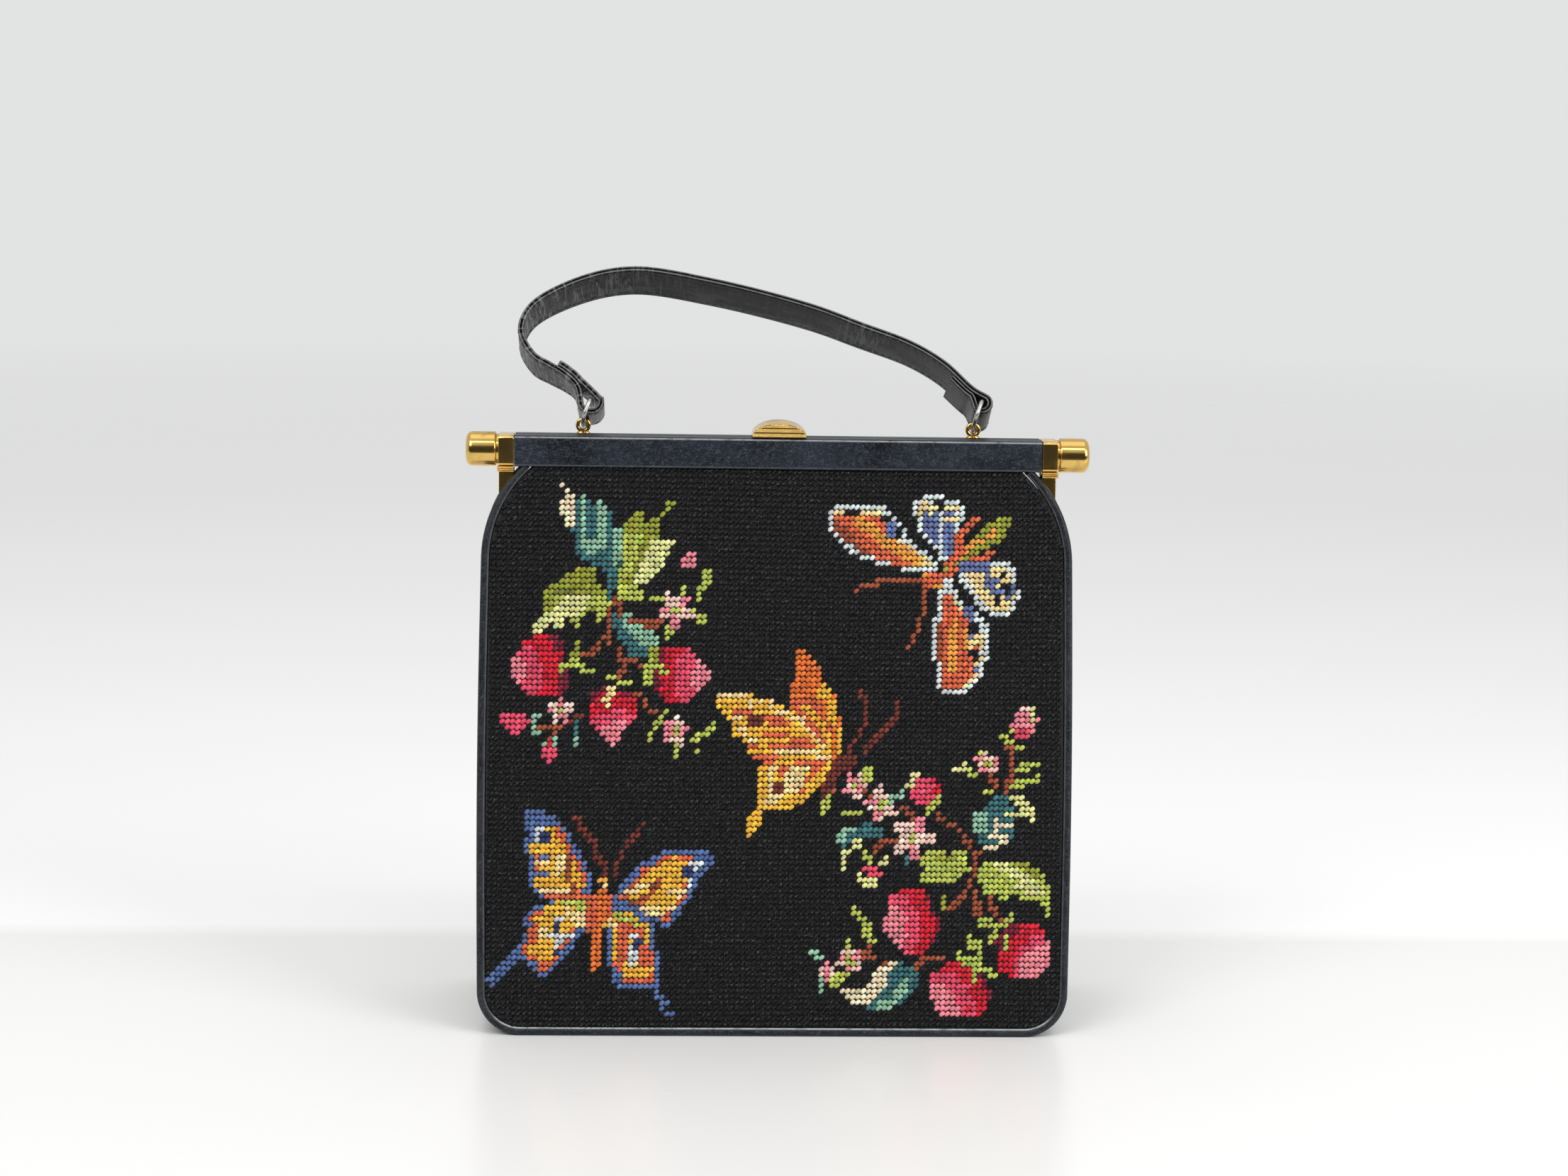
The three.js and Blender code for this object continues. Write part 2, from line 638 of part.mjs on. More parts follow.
add('clasp_base', claspBaseGeometry(), 'brass');
add('clasp_pin', claspPinGeometry(), 'brass');
add('clasp_tab', tabGeometry(), 'brass');
add('clasp_catch', claspCatchGeometry(), 'brass');

export default bag;
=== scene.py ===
import math

import bpy
import numpy as np
from mathutils import Matrix, Vector


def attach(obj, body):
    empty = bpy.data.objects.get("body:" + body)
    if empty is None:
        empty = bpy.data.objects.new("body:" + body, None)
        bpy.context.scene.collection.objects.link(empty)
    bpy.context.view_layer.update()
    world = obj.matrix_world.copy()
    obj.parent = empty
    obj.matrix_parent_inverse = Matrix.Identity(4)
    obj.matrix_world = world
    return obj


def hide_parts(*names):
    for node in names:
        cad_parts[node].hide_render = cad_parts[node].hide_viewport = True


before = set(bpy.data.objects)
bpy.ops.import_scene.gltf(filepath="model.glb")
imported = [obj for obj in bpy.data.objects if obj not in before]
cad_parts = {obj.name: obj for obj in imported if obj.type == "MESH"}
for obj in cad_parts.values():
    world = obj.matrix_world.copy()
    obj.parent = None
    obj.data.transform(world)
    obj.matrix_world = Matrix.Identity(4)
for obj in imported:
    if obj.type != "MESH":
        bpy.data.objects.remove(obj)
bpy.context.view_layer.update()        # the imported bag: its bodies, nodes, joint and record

mm = 0.001
luck = np.random.default_rng(1958)   # every random draw comes from here

# the bag's sizes in millimetres, as its frame was cut
bag = {
    "width": 243, "baseDepth": 84, "bottomCorner": 18, "topCorner": 54, "shoulderHeight": 41.93,
    "sideSwell": 0.8, "panelThick": 2.2, "panelCrown": 2.6, "bellyRoundness": 2.4, "pipingRadius": 1.7,
    "gussetThick": 1.6, "gussetDrop": 20.5, "gussetFold": 22, "foldRoundness": 2.8, "foldStart": 55,
    "foldFull": 172, "gap": 0.3, "barBottom": 230.2, "barTop": 243, "barFront": 7, "barSplit": 0.5,
    "barEdge": 1.5, "innerWall": 1.9, "groove": 3.8, "plateInner": 108.4, "plateOuter": 114.7,
    "hingeHeight": 182,
}
seatY = bag["barSplit"] / 2 + bag["innerWall"] + bag["groove"] / 2
baseY = bag["baseDepth"] / 2 - bag["pipingRadius"]
lean = math.atan((baseY - seatY) / (bag["barBottom"] + bag["groove"] / 2))
panelRise = (bag["barBottom"] + bag["groove"] - bag["gap"]) / math.cos(lean)
shoulderStart = panelRise - bag["shoulderHeight"]
lift = bag["pipingRadius"] * (1 - math.cos(lean))


# Shapes: a shape is an array of points and a list of face arrays, each with one number of corners.

# the six-fold volume under the faces tells which way they point; an inside-out shape is turned
def outward(points, faces):
    total = 0.0
    for block in faces:
        corner = points[block]
        for k in range(1, block.shape[1] - 1):
            total += np.einsum("ij,ij->", corner[:, 0], np.cross(corner[:, k], corner[:, k + 1]))
    return points, (faces if total > 0 else [block[:, ::-1] for block in faces])


# skin over rows of points; each row is a closed loop, and the two ends are capped unless they join
def loft(rows, endless=False):
    count, around = rows.shape[:2]
    spans = count if endless else count - 1
    row, step = np.meshgrid(np.arange(spans), np.arange(around), indexing="ij")
    nextRow, nextStep = (row + 1) % count, (step + 1) % around
    quads = np.stack([row * around + step, nextRow * around + step,
                      nextRow * around + nextStep, row * around + nextStep], -1).reshape(-1, 4)
    faces = [quads]
    if not endless:
        first = np.arange(around)
        faces.append(np.stack([first, (first + (count - 1) * around)[::-1]]))
    return outward(rows.reshape(-1, 3), faces)


def joined(*shapes):
    points, faces, start = [], [], 0
    for shapePoints, shapeFaces in shapes:
        points.append(shapePoints)
        faces += [block + start for block in shapeFaces]
        start += len(shapePoints)
    return np.concatenate(points), faces


def scaled(shape, x=1, y=1):
    return outward(shape[0] * (x, y, 1), shape[1])


def moved(shape, offset):
    return shape[0] + np.asarray(offset, float), shape[1]


def makePiece(name, shape, finish, replaces=(), body="bag", crease=35, colour=None):
    points, faces = shape
    mesh = bpy.data.meshes.new(name)
    loops = np.concatenate([block.ravel() for block in faces]).astype(np.int32)
    totals = np.concatenate([np.full(len(block), block.shape[1]) for block in faces]).astype(np.int32)
    mesh.vertices.add(len(points))
    mesh.vertices.foreach_set("co", (points * mm).astype(np.float32).ravel())
    mesh.loops.add(len(loops))
    mesh.loops.foreach_set("vertex_index", loops)
    mesh.polygons.add(len(totals))
    mesh.polygons.foreach_set("loop_start", (np.cumsum(totals) - totals).astype(np.int32))
    mesh.polygons.foreach_set("loop_total", totals)
    mesh.polygons.foreach_set("use_smooth", np.ones(len(totals), bool))
    mesh.update(calc_edges=True)
    if crease:
        mesh.set_sharp_from_angle(angle=math.radians(crease))
    for label, values in (colour or {}).items():
        kind, key = ("FLOAT_COLOR", "color") if values.ndim == 2 else ("FLOAT", "value")
        field = mesh.attributes.new(label, kind, "POINT")
        field.data.foreach_set(key, values.astype(np.float32).ravel())
    mesh.materials.append(finish)
    piece = bpy.data.objects.new(name, mesh)
    bpy.context.scene.collection.objects.link(piece)
    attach(piece, body)
    if replaces:
        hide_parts(*replaces)


# a bell curve of height one: where the value is near the middle
def bump(value, middle, width):
    return np.exp(-((value - middle) / width) ** 2)


# each row of vectors brought to length one
def unit(vectors):
    return vectors / np.linalg.norm(vectors, axis=-1, keepdims=True)


# direction of a line of points at each of them
def headings(path):
    return unit(np.gradient(path, axis=0))


# length along a line of points up to each of them
def runOf(path):
    return np.concatenate([[0], np.cumsum(np.linalg.norm(np.diff(path, axis=0), axis=1))])


# each column of a table read off at the given places
def readOff(places, run, table):
    return np.stack([np.interp(places, run, column) for column in table.T], 1)


# points spaced evenly by length along a line of points
def evenly(path, count):
    path = np.asarray(path, float)
    run = runOf(path)
    return readOff(np.linspace(0, run[-1], count), run, path)


# a polygon with each corner rounded: an arc of the given radius between the two sides, in even turns
def rounded(corners, radii, steps=6):
    corners = np.asarray(corners, float)
    count = len(corners)
    out = []
    for i in range(count):
        here, before, after = corners[i], corners[i - 1], corners[(i + 1) % count]
        a, b = before - here, after - here
        a, b = a / np.linalg.norm(a), b / np.linalg.norm(b)
        half = math.acos(np.clip(a @ b, -1, 1)) / 2
        radius = radii[i] if np.ndim(radii) else radii
        if radius == 0:
            out.append(here[None])
            continue
        reach = radius / math.tan(half)
        centre = here + (a + b) / np.linalg.norm(a + b) * radius / math.sin(half)
        start, end = here + a * reach - centre, here + b * reach - centre
        share = np.linspace(0, 1, steps)[:, None]
        turn = math.pi - 2 * half
        arc = np.sin((1 - share) * turn) * start + np.sin(share * turn) * end
        out.append(centre + arc / math.sin(turn))
    return np.concatenate(out)


# a box between two opposite corners (u, v), with rounded edges
def box(u0, v0, u1, v1, radius, steps=5):
    return rounded([(u0, v0), (u1, v0), (u1, v1), (u0, v1)], radius, steps)


# a flat outline (u, v) pushed along an axis; its two rims are rounded by quarter circles that pull
# the outline in towards its middle
def prism(outline, low, high, axis, rim=0.2, steps=4, extra=()):
    middle = (outline.min(0) + outline.max(0)) / 2
    size = (outline.max(0) - outline.min(0)) / 2
    turn = np.linspace(0, math.pi / 2, steps)
    inset, step = rim * (1 - np.sin(turn)), rim * (1 - np.cos(turn))
    at = np.concatenate([low + step, extra, (high - step)[::-1]])
    inset = np.concatenate([inset, np.zeros(len(extra)), inset[::-1]])
    rows = middle + (outline - middle)[None] * (1 - inset[:, None, None] / size)
    spot = np.broadcast_to(at[:, None, None], (len(at), len(outline), 1))
    u, v = rows[..., :1], rows[..., 1:]
    order = {"x": (spot, u, v), "z": (u, v, spot)}[axis]
    return loft(np.concatenate(order, -1))


# a turned shape: circles of the profile's radii at its places along X
def turnedX(profile, sides=40, y=0.0, z=0.0):
    profile = np.asarray(profile, float)
    turn = np.arange(sides) / sides * 2 * math.pi
    ring = np.stack([np.zeros(sides), np.cos(turn), np.sin(turn)], 1)
    return loft(profile[:, 0, None, None] * (1, 0, 0) + ring * profile[:, 1, None, None] + (0, y, z))


# quarter-circle rounding for a turned profile, from (x0, r0) to (x1, r1)
def quarter(x0, r0, x1, r1, outFirst, steps=7):
    turn = np.linspace(0, math.pi / 2, steps)
    grow, shrink = np.sin(turn), 1 - np.cos(turn)
    along, across = (shrink, grow) if outFirst else (grow, shrink)
    return np.stack([x0 + (x1 - x0) * along, r0 + (r1 - r0) * across], 1)


# The body's outline and surfaces

# edge of a panel as (x, height up the panel), from the middle of the foot to the top on the right:
# a foot line, a corner arc, a side that bows out by a half sine, and a shoulder arc
def rightEdge(inset, top, steps=60):
    footX = bag["width"] / 2 - bag["bottomCorner"]
    turn = np.linspace(0, math.pi / 2, steps)
    radius = bag["bottomCorner"] - inset
    corner = np.stack([footX + radius * np.sin(turn), bag["bottomCorner"] - radius * np.cos(turn)], 1)
    height = np.linspace(bag["bottomCorner"], min(top, shoulderStart), steps)[1:]
    share = (height - bag["bottomCorner"]) / (shoulderStart - bag["bottomCorner"])
    side = np.stack([bag["width"] / 2 - inset + bag["sideSwell"] * np.sin(math.pi * share), height], 1)
    radius = bag["topCorner"] - inset
    reach = math.asin(min(1, (top - shoulderStart) / radius))
    turn = np.linspace(0, reach, steps)[1:]
    shoulder = np.stack([bag["width"] / 2 - bag["topCorner"] + radius * np.cos(turn),
                         shoulderStart + radius * np.sin(turn)], 1)
    return np.concatenate([[[0, inset]], corner, side, shoulder])


def panelEdge(inset, top, count):
    right = rightEdge(inset, top)
    return evenly(np.concatenate([right[:0:-1] * (-1, 1), right]), count)


# share of the way from the panel's middle out to its edge, for each (x, height)
panelInset = 2 * bag["pipingRadius"] + bag["gap"]
panelMiddle = panelRise / 2
edgeLoop = panelEdge(panelInset, panelRise, 900)
edgeTop = np.linspace(1, -1, 200)[1:-1] * edgeLoop[-1, 0]
edgeLoop = np.concatenate([edgeLoop, np.stack([edgeTop, np.full(198, panelRise)], 1)])
edgeTurn = np.arctan2(edgeLoop[:, 1] - panelMiddle, edgeLoop[:, 0])
edgeReach = np.hypot(edgeLoop[:, 0], edgeLoop[:, 1] - panelMiddle)
edgeOrder = np.argsort(edgeTurn)


def edgeShare(x, height):
    turn = np.arctan2(height - panelMiddle, x)
    reach = np.interp(turn, edgeTurn[edgeOrder], edgeReach[edgeOrder], period=2 * math.pi)
    return np.hypot(x, height - panelMiddle) / reach


# how far the panel bellies forward: its crown times one minus the share to the power of the roundness
def belly(x, height):
    return bag["panelCrown"] * (1 - np.clip(edgeShare(x, height), 0, 1) ** bag["bellyRoundness"])


# from a panel's own (across, out of the panel, up the panel) to the bag, for the front or back half
def leaned(points, half):
    x, y, height = points[..., 0], points[..., 1], points[..., 2]
    placed = np.stack([x, -baseY + y * math.cos(lean) + height * math.sin(lean),
                       lift - y * math.sin(lean) + height * math.cos(lean)], -1)
    return placed if half == "front" else placed * (-1, -1, 1)


print("shapes and outline ready")


# Finishes

# one output socket; the signs + and * on it add Math nodes
class Wire:
    def __init__(self, finish, socket):
        self.finish, self.socket = finish, socket

    def calc(self, operation, *others, clamp=False):
        inputs = dict(enumerate((self, *others)))
        return self.finish.node("Math", inputs, operation=operation, use_clamp=clamp)

    def __add__(self, other):
        return self.calc("ADD", other)

    def __mul__(self, other):
        return self.calc("MULTIPLY", other)


# a node tree being built; its node method is the one way to add a node
class Recipe:
    def __init__(self, tree):
        self.tree = tree

    def node(self, kind, inputs=(), output=0, **settings):
        made = self.tree.nodes.new("ShaderNode" + kind)
        for key, value in settings.items():
            setattr(made, key, value)
        for key, value in dict(inputs).items():
            self.plug(value, made.inputs[key])
        return Wire(self, made.outputs[output])

    def plug(self, value, socket):
        if isinstance(value, Wire):
            self.tree.links.new(value.socket, socket)
        else:
            socket.default_value = value

    def blendOf(self, share, low, high):
        low, high = (tone if isinstance(tone, Wire) else (*tone, 1) for tone in (low, high))
        return self.node("Mix", {0: share, 6: low, 7: high}, output=2, data_type="RGBA")

    # greys between two stops, each a place and a brightness
    def ramp(self, share, stops):
        made = self.node("ValToRGB", {"Fac": share})
        for element, (spot, tone) in zip(made.socket.node.color_ramp.elements, stops):
            element.position, element.color = spot, (tone, tone, tone, 1)
        return made

    def part(self, vector, letter):
        return self.node("SeparateXYZ", {"Vector": vector}, output=letter)


# a material being mixed
class Finish(Recipe):
    def __init__(self, name, **constants):
        self.material = bpy.data.materials.new(name)
        self.material.use_nodes = True
        super().__init__(self.material.node_tree)
        self.shader = self.tree.nodes["Principled BSDF"]
        self.place = self.node("TexCoord", output="Object")
        self.give(**constants)

    def noise(self, scale, detail=3.0, rough=0.5, at=None, twist=0.0):
        inputs = {"Vector": at or self.place, "Scale": scale, "Detail": detail, "Roughness": rough,
                  "Distortion": twist}
        return self.node("TexNoise", inputs)

    def measure(self, label):
        return self.node("Attribute", output="Fac", attribute_name=label)

    def stretched(self, x, y, z):
        return self.node("Mapping", {"Vector": self.place, "Scale": (x, y, z)})

    def raised(self, height, distance, strength=1.0, under=None):
        inputs = {"Height": height, "Distance": distance, "Strength": strength}
        if under:
            inputs["Normal"] = under
        return self.node("Bump", inputs)

    def give(self, **sockets):
        for key, value in sockets.items():
            self.plug(value, self.shader.inputs[key.replace("_", " ")])


# wool tent stitches: the stitch's own colour, broken by fibres and flecked with painted sheen:
# pale specks where fuzz would catch the light
def makeYarn():
    wool = Finish("wool_yarn", Roughness=0.62, Specular_IOR_Level=0.22)
    black, sheenGrey = (0, 0, 0), (0.5, 0.5, 0.5)
    tone = wool.node("Attribute", output="Color", attribute_name="yarn")
    fibre = wool.noise(1000.0, 4.0, 0.65, at=wool.stretched(1, 1, 0.6))
    # painted sheen: sparse pale grey specks mixed into the stitch colour
    fuzzSheen = wool.ramp(wool.noise(1300.0, 3.0, 0.6), [(0.54, 0.0), (0.68, 1.0)])
    shade = wool.blendOf(wool.ramp(fibre, [(0.3, 0.62), (0.7, 1.0)]), black, tone)
    wool.give(Base_Color=wool.blendOf(fuzzSheen * 0.12, shade, sheenGrey),
              Normal=wool.raised(wool.noise(1400.0, 3.0, 0.6), 0.0002, 0.6))
    return wool.material


# the canvas under the stitches is coloured near black as painted shade for the gaps between them
def makeCanvas():
    canvas = Finish("canvas_painted_shade", Roughness=0.95)
    weave = canvas.noise(500.0, 2.0)
    canvas.give(Base_Color=canvas.blendOf(weave, (0.006, 0.006, 0.008), (0.02, 0.02, 0.024)),
                Normal=canvas.raised(weave, 0.0003))
    return canvas.material


# smooth calf: fine grain, hair scratches both ways and a blue-black dye; edges carry a pale painted
# highlight broken by noise, on the piping partly wear too; a loose skin is also crumpled
def makeLeather(name, light, crumpled=False):
    calf = Finish(name, Specular_IOR_Level=0.22)
    deep, scratched, highlightAndWear = (0.003, 0.004, 0.0065), (0.11, 0.13, 0.16), (0.5, 0.51, 0.52)
    grain, cloud = calf.noise(700.0, 4.0, 0.6), calf.noise(38.0, 4.0, 0.65)
    ways = [calf.stretched(0.4, 1, 1), calf.stretched(1, 0.6, 0.5)]
    hairs = [calf.ramp(calf.noise(900.0, 5.0, 0.75, at=way, twist=1.8), [(0.52, 0.0), (0.66, 1.0)])
             for way in ways]
    dye = calf.blendOf(calf.ramp(cloud, [(0.35, 0.0), (0.65, 1.0)]), deep, light)
    dye = calf.blendOf(hairs[0] * 0.38 + hairs[1] * 0.3, dye, scratched)
    breaks = calf.ramp(calf.noise(260.0, 4.0, 0.7), [(0.32, 0.35), (0.5, 1.0)])
    soft = calf.raised(calf.noise(60.0, 3.0, 0.5, twist=1.0), 0.004) if crumpled else None
    # pale band of painted highlight (on the piping also wear) where the measure says, broken by noise
    calf.give(Base_Color=calf.blendOf(calf.measure("paintedHighlightAndWear") * breaks, dye, highlightAndWear),
              Roughness=grain * 0.1 + cloud * 0.18 + 0.27,
              Normal=calf.raised(grain + hairs[0] * 0.4, 0.00012, 0.7, under=soft))
    return calf.material


# glazed strap leather: creases run across it, drawn from its own measures along and across in
# millimetres and stronger where it has been bent; their ridges are paler grey, cloudy painted
# highlights lie mostly on the back half of its width, and its edges carry a painted highlight
def makeStrapLeather():
    glazed = Finish("glazed_black_leather", Specular_IOR_Level=0.16)
    deep, cloudy = (0.001, 0.001, 0.0013), (0.062, 0.062, 0.064)
    creased, highlightAndWear = (0.13, 0.13, 0.132), (0.55, 0.55, 0.55)
    along, over, bent = (glazed.measure(label) for label in ("along", "across", "bent"))
    crossways = glazed.node("CombineXYZ", {"X": along, "Y": over * 0.13})
    lengthways = glazed.node("CombineXYZ", {"X": along * 0.45, "Y": over * 1.6})
    folds = glazed.noise(0.62, 3.0, 0.6, at=crossways, twist=0.7)
    haze = glazed.noise(0.11, 4.0, 0.6, at=lengthways)
    grain = glazed.noise(620.0, 4.0, 0.6)
    # painted highlight: cloudy pale patches, stronger towards the back edge of the width
    cloudyHighlight = glazed.ramp(haze, [(0.46, 0.0), (0.6, 1.0)]) * (over * 0.075).calc("ADD", 0.35, clamp=True)
    base = glazed.blendOf(cloudyHighlight, deep, cloudy)
    ridges = glazed.ramp(folds, [(0.52, 0.0), (0.6, 1.0)])
    base = glazed.blendOf(ridges * bent * 0.8, base, creased)
    breaks = glazed.ramp(glazed.noise(300.0, 3.0, 0.6), [(0.3, 0.4), (0.5, 1.0)])
    skin = glazed.raised(folds * bent, 0.0016, 0.9)
    # the lips of the edges carry a painted highlight, broken by noise
    glazed.give(Base_Color=glazed.blendOf(glazed.measure("paintedHighlightAndWear") * breaks, base, highlightAndWear),
                Roughness=grain * 0.12 + haze * 0.15 + 0.17,
                Normal=glazed.raised(grain, 0.00012, 0.6, under=skin))
    return glazed.material


def makeThread():
    thread = Finish("black_thread", Roughness=0.6)
    fibre = thread.noise(1500.0, 3.0)
    thread.give(Base_Color=thread.blendOf(fibre, (0.006, 0.006, 0.007), (0.05, 0.05, 0.052)),
                Normal=thread.raised(fibre, 0.0001))
    return thread.material


# old gilt brass: hairline scratches along the bag, brown tarnish in patches; a ribbed face adds a few
# level ribs, a sine of the height, on what lies in front of the bars
ribbing = {"frontOf": -0.00695, "waves": 3300.0, "phase": 1.0, "depth": 0.00035}


def makeBrass(name, ribbed=False):
    gilt = Finish(name, Metallic=1.0)
    gold, tarnished = (0.7, 0.46, 0.135), (0.18, 0.1, 0.025)
    hair = gilt.noise(900.0, 3.0, 0.6, at=gilt.stretched(0.05, 1, 1))
    patch = gilt.ramp(gilt.noise(170.0, 5.0, 0.65), [(0.48, 0.0), (0.78, 1.0)])
    ribs = None
    if ribbed:
        face = gilt.part(gilt.place, "Y").calc("LESS_THAN", ribbing["frontOf"])
        wave = gilt.part(gilt.place, "Z") * ribbing["waves"] + ribbing["phase"]
        ribs = gilt.raised(wave.calc("SINE") * face, ribbing["depth"])
    gilt.give(Base_Color=gilt.blendOf(patch * 0.5, gold, tarnished),
              Roughness=hair * 0.1 + patch * 0.15 + 0.09,
              Normal=gilt.raised(hair, 0.00001, 0.3, under=ribs))
    return gilt.material


def makeSteel():
    steel = Finish("dulled_steel", Metallic=1.0)
    patch = steel.noise(300.0, 4.0, 0.6)
    steel.give(Base_Color=steel.blendOf(patch, (0.26, 0.25, 0.24), (0.55, 0.54, 0.52)),
               Roughness=patch * 0.25 + 0.22, Normal=steel.raised(patch, 0.00005, 0.4))
    return steel.material


wool, canvas = makeYarn(), makeCanvas()
calf = makeLeather("bar_calf", (0.014, 0.018, 0.028))
welt = makeLeather("piping_calf", (0.016, 0.017, 0.019))
skin = makeLeather("gusset_skin", (0.013, 0.013, 0.015), True)
glazed, thread, steel = makeStrapLeather(), makeThread(), makeSteel()
gilt, ribbed = makeBrass("gilt_brass"), makeBrass("gilt_ribbed", True)
print("finishes ready")


# Needlepoint panels

panel = {"rings": 24, "around": 420, "innerRing": 0.02, "canvasSink": 0.75}


# the canvas wall: rings of the panel's edge shrunk towards its middle, going out across the front
# face and in again across the rear
def canvasShape(half):
    middle = np.array([0, panelMiddle])
    right = rightEdge(panelInset, panelRise)
    loop = np.concatenate([right[:0:-1] * (-1, 1), right, [(0, panelRise)]])
    loop = evenly(np.concatenate([loop, loop[:1]]), panel["around"] + 1)[:-1]
    shares = np.linspace(panel["innerRing"], 1, panel["rings"])
    flat = middle + (loop - middle)[None] * shares[:, None, None]
    crown = bag["panelCrown"] * (1 - shares ** bag["bellyRoundness"])[:, None, None]
    front = np.full(flat.shape[:2] + (1,), -bag["panelThick"] / 2 + panel["canvasSink"]) - crown
    back = np.full(flat.shape[:2] + (1,), bag["panelThick"] / 2) - crown
    wall = [np.concatenate([flat[..., :1], face, flat[..., 1:]], -1) for face in (front, back)]
    return loft(leaned(np.concatenate([wall[0], wall[1][::-1]]), half))


for half in ("front", "back"):
    makePiece(f"canvas_{half}", canvasShape(half), canvas, [f"needlepoint_{half}"])
print("canvas ready")

# Chart of the front panel, in stitches across from the middle and up from the foot. Motifs are
# outlines, lines and round forms, each in one wool or shaded by distance; a later one covers an
# earlier one.

chart = {
    "columns": 55, "rows": 102, "pitchAcross": 2.164, "pitchUp": 2.295, "waver": 0.45,
    "stemReach": 0.56, "dotReach": 0.72, "wander": 0.28,
}
wools = {   # as the eye sees them, 0 to 255
    "black": (8, 8, 11), "cream": (242, 224, 186), "white": (214, 224, 224), "blue": (84, 110, 164),
    "slate": (104, 118, 168), "navy": (47, 58, 108), "teal": (58, 112, 116), "mint": (143, 190, 160),
    "moss": (116, 124, 52), "olive": (152, 158, 52), "lime": (186, 198, 86), "pale": (226, 226, 150),
    "rust": (158, 78, 50), "brown": (112, 48, 38), "maroon": (122, 22, 48), "red": (214, 24, 48),
    "rose": (232, 76, 104), "pink": (240, 136, 148), "shell": (246, 206, 190), "salmon": (222, 102, 66),
    "orange": (232, 116, 48), "amber": (238, 160, 66), "gold": (244, 184, 58), "straw": (248, 218, 152),
}
woolNames = list(wools)
berry = ("pink", "rose", "red", "maroon")
whiteWing, blueWing = ("white", "straw", "salmon"), ("blue", "salmon", "gold")
counts = np.arange(-chart["columns"], chart["columns"] + 1.0), np.arange(1.0, chart["rows"] + 1)
across, up = (grid.ravel() for grid in np.meshgrid(*counts))
tones = np.zeros(len(across), int)
jitter = luck.normal(0, chart["wander"], len(across))   # how far a shade strays from its line


# distance from every stitch to a line of points
def distanceTo(points, closed=False):
    points = np.asarray(points, float).reshape(-1, 2)
    if len(points) == 1:
        return np.hypot(across - points[0, 0], up - points[0, 1])
    ends = np.roll(points, -1, 0) if closed else points[1:]
    starts = points if closed else points[:-1]
    spot = np.stack([across, up], 1)[:, None]
    way = (ends - starts)[None]
    share = np.clip(((spot - starts) * way).sum(-1) / np.maximum((way ** 2).sum(-1), 1e-9), 0, 1)
    return np.linalg.norm(spot - starts - share[..., None] * way, axis=-1).min(1)


# stitches inside an outline: a ray to the right crosses it an odd number of times
def within(points):
    points = np.asarray(points, float)
    x0, y0 = points.T
    x1, y1 = np.roll(points, -1, 0).T
    rising = (y0[None] > up[:, None]) != (y1[None] > up[:, None])
    cross = x0 + (up[:, None] - y0) * (x1 - x0) / np.where(y1 == y0, 1e-9, y1 - y0)
    return (rising & (across[:, None] < cross)).sum(1) % 2 == 1


def stitch(mask, wool):
    tones[mask] = woolNames.index(wool)


# filled outlines, lines and single stitches in one wool
def patch(wool, *outlines):
    for outline in outlines:
        stitch(within(outline), wool)


def stem(wool, *lines, reach=chart["stemReach"]):
    for line in lines:
        stitch(distanceTo(line) < reach, wool)


def dots(wool, *points):
    for point in points:
        stitch(distanceTo(point) < chart["dotReach"], wool)


# an outline filled by distance from its lit spot: each wool reaches further than the one before
def shaded(lit, reaches, shades, outline):
    mask, far = within(outline), distanceTo(lit) + jitter
    for reach, wool in zip([*reaches, 1e9][::-1], shades[::-1]):
        stitch(mask & (far < reach), wool)


# a wing: an outline with wools in bands of the given depths from its edge
def wing(depths, shades, outline):
    mask, deep = within(outline), distanceTo(outline, True) + 0.5 * jitter
    for depth, wool in zip([*depths, 1e9][::-1], shades[::-1]):
        stitch(mask & (deep < depth), wool)


# five round petals about a heart; petals turn from shell to pink by their side of the flower
def blossom(x, y, size, turn=0.3):
    far, angle = np.hypot(across - x, up - y), np.arctan2(up - y, across - x)
    petals = far < size * (0.86 + 0.26 * np.cos(5 * (angle - turn))) + 0.35
    stitch(petals, "shell")
    stitch(petals & (np.cos(2.5 * (angle - turn) + 0.6) + 0.6 * jitter > 0.35) & (far > 0.7), "pink")
    stitch(far < 0.75, "lime")


def ellipse(x, y, wide, tall, steps=24):
    turn = np.arange(steps) / steps * 2 * math.pi
    return np.stack([x + wide * np.cos(turn), y + tall * np.sin(turn)], 1)


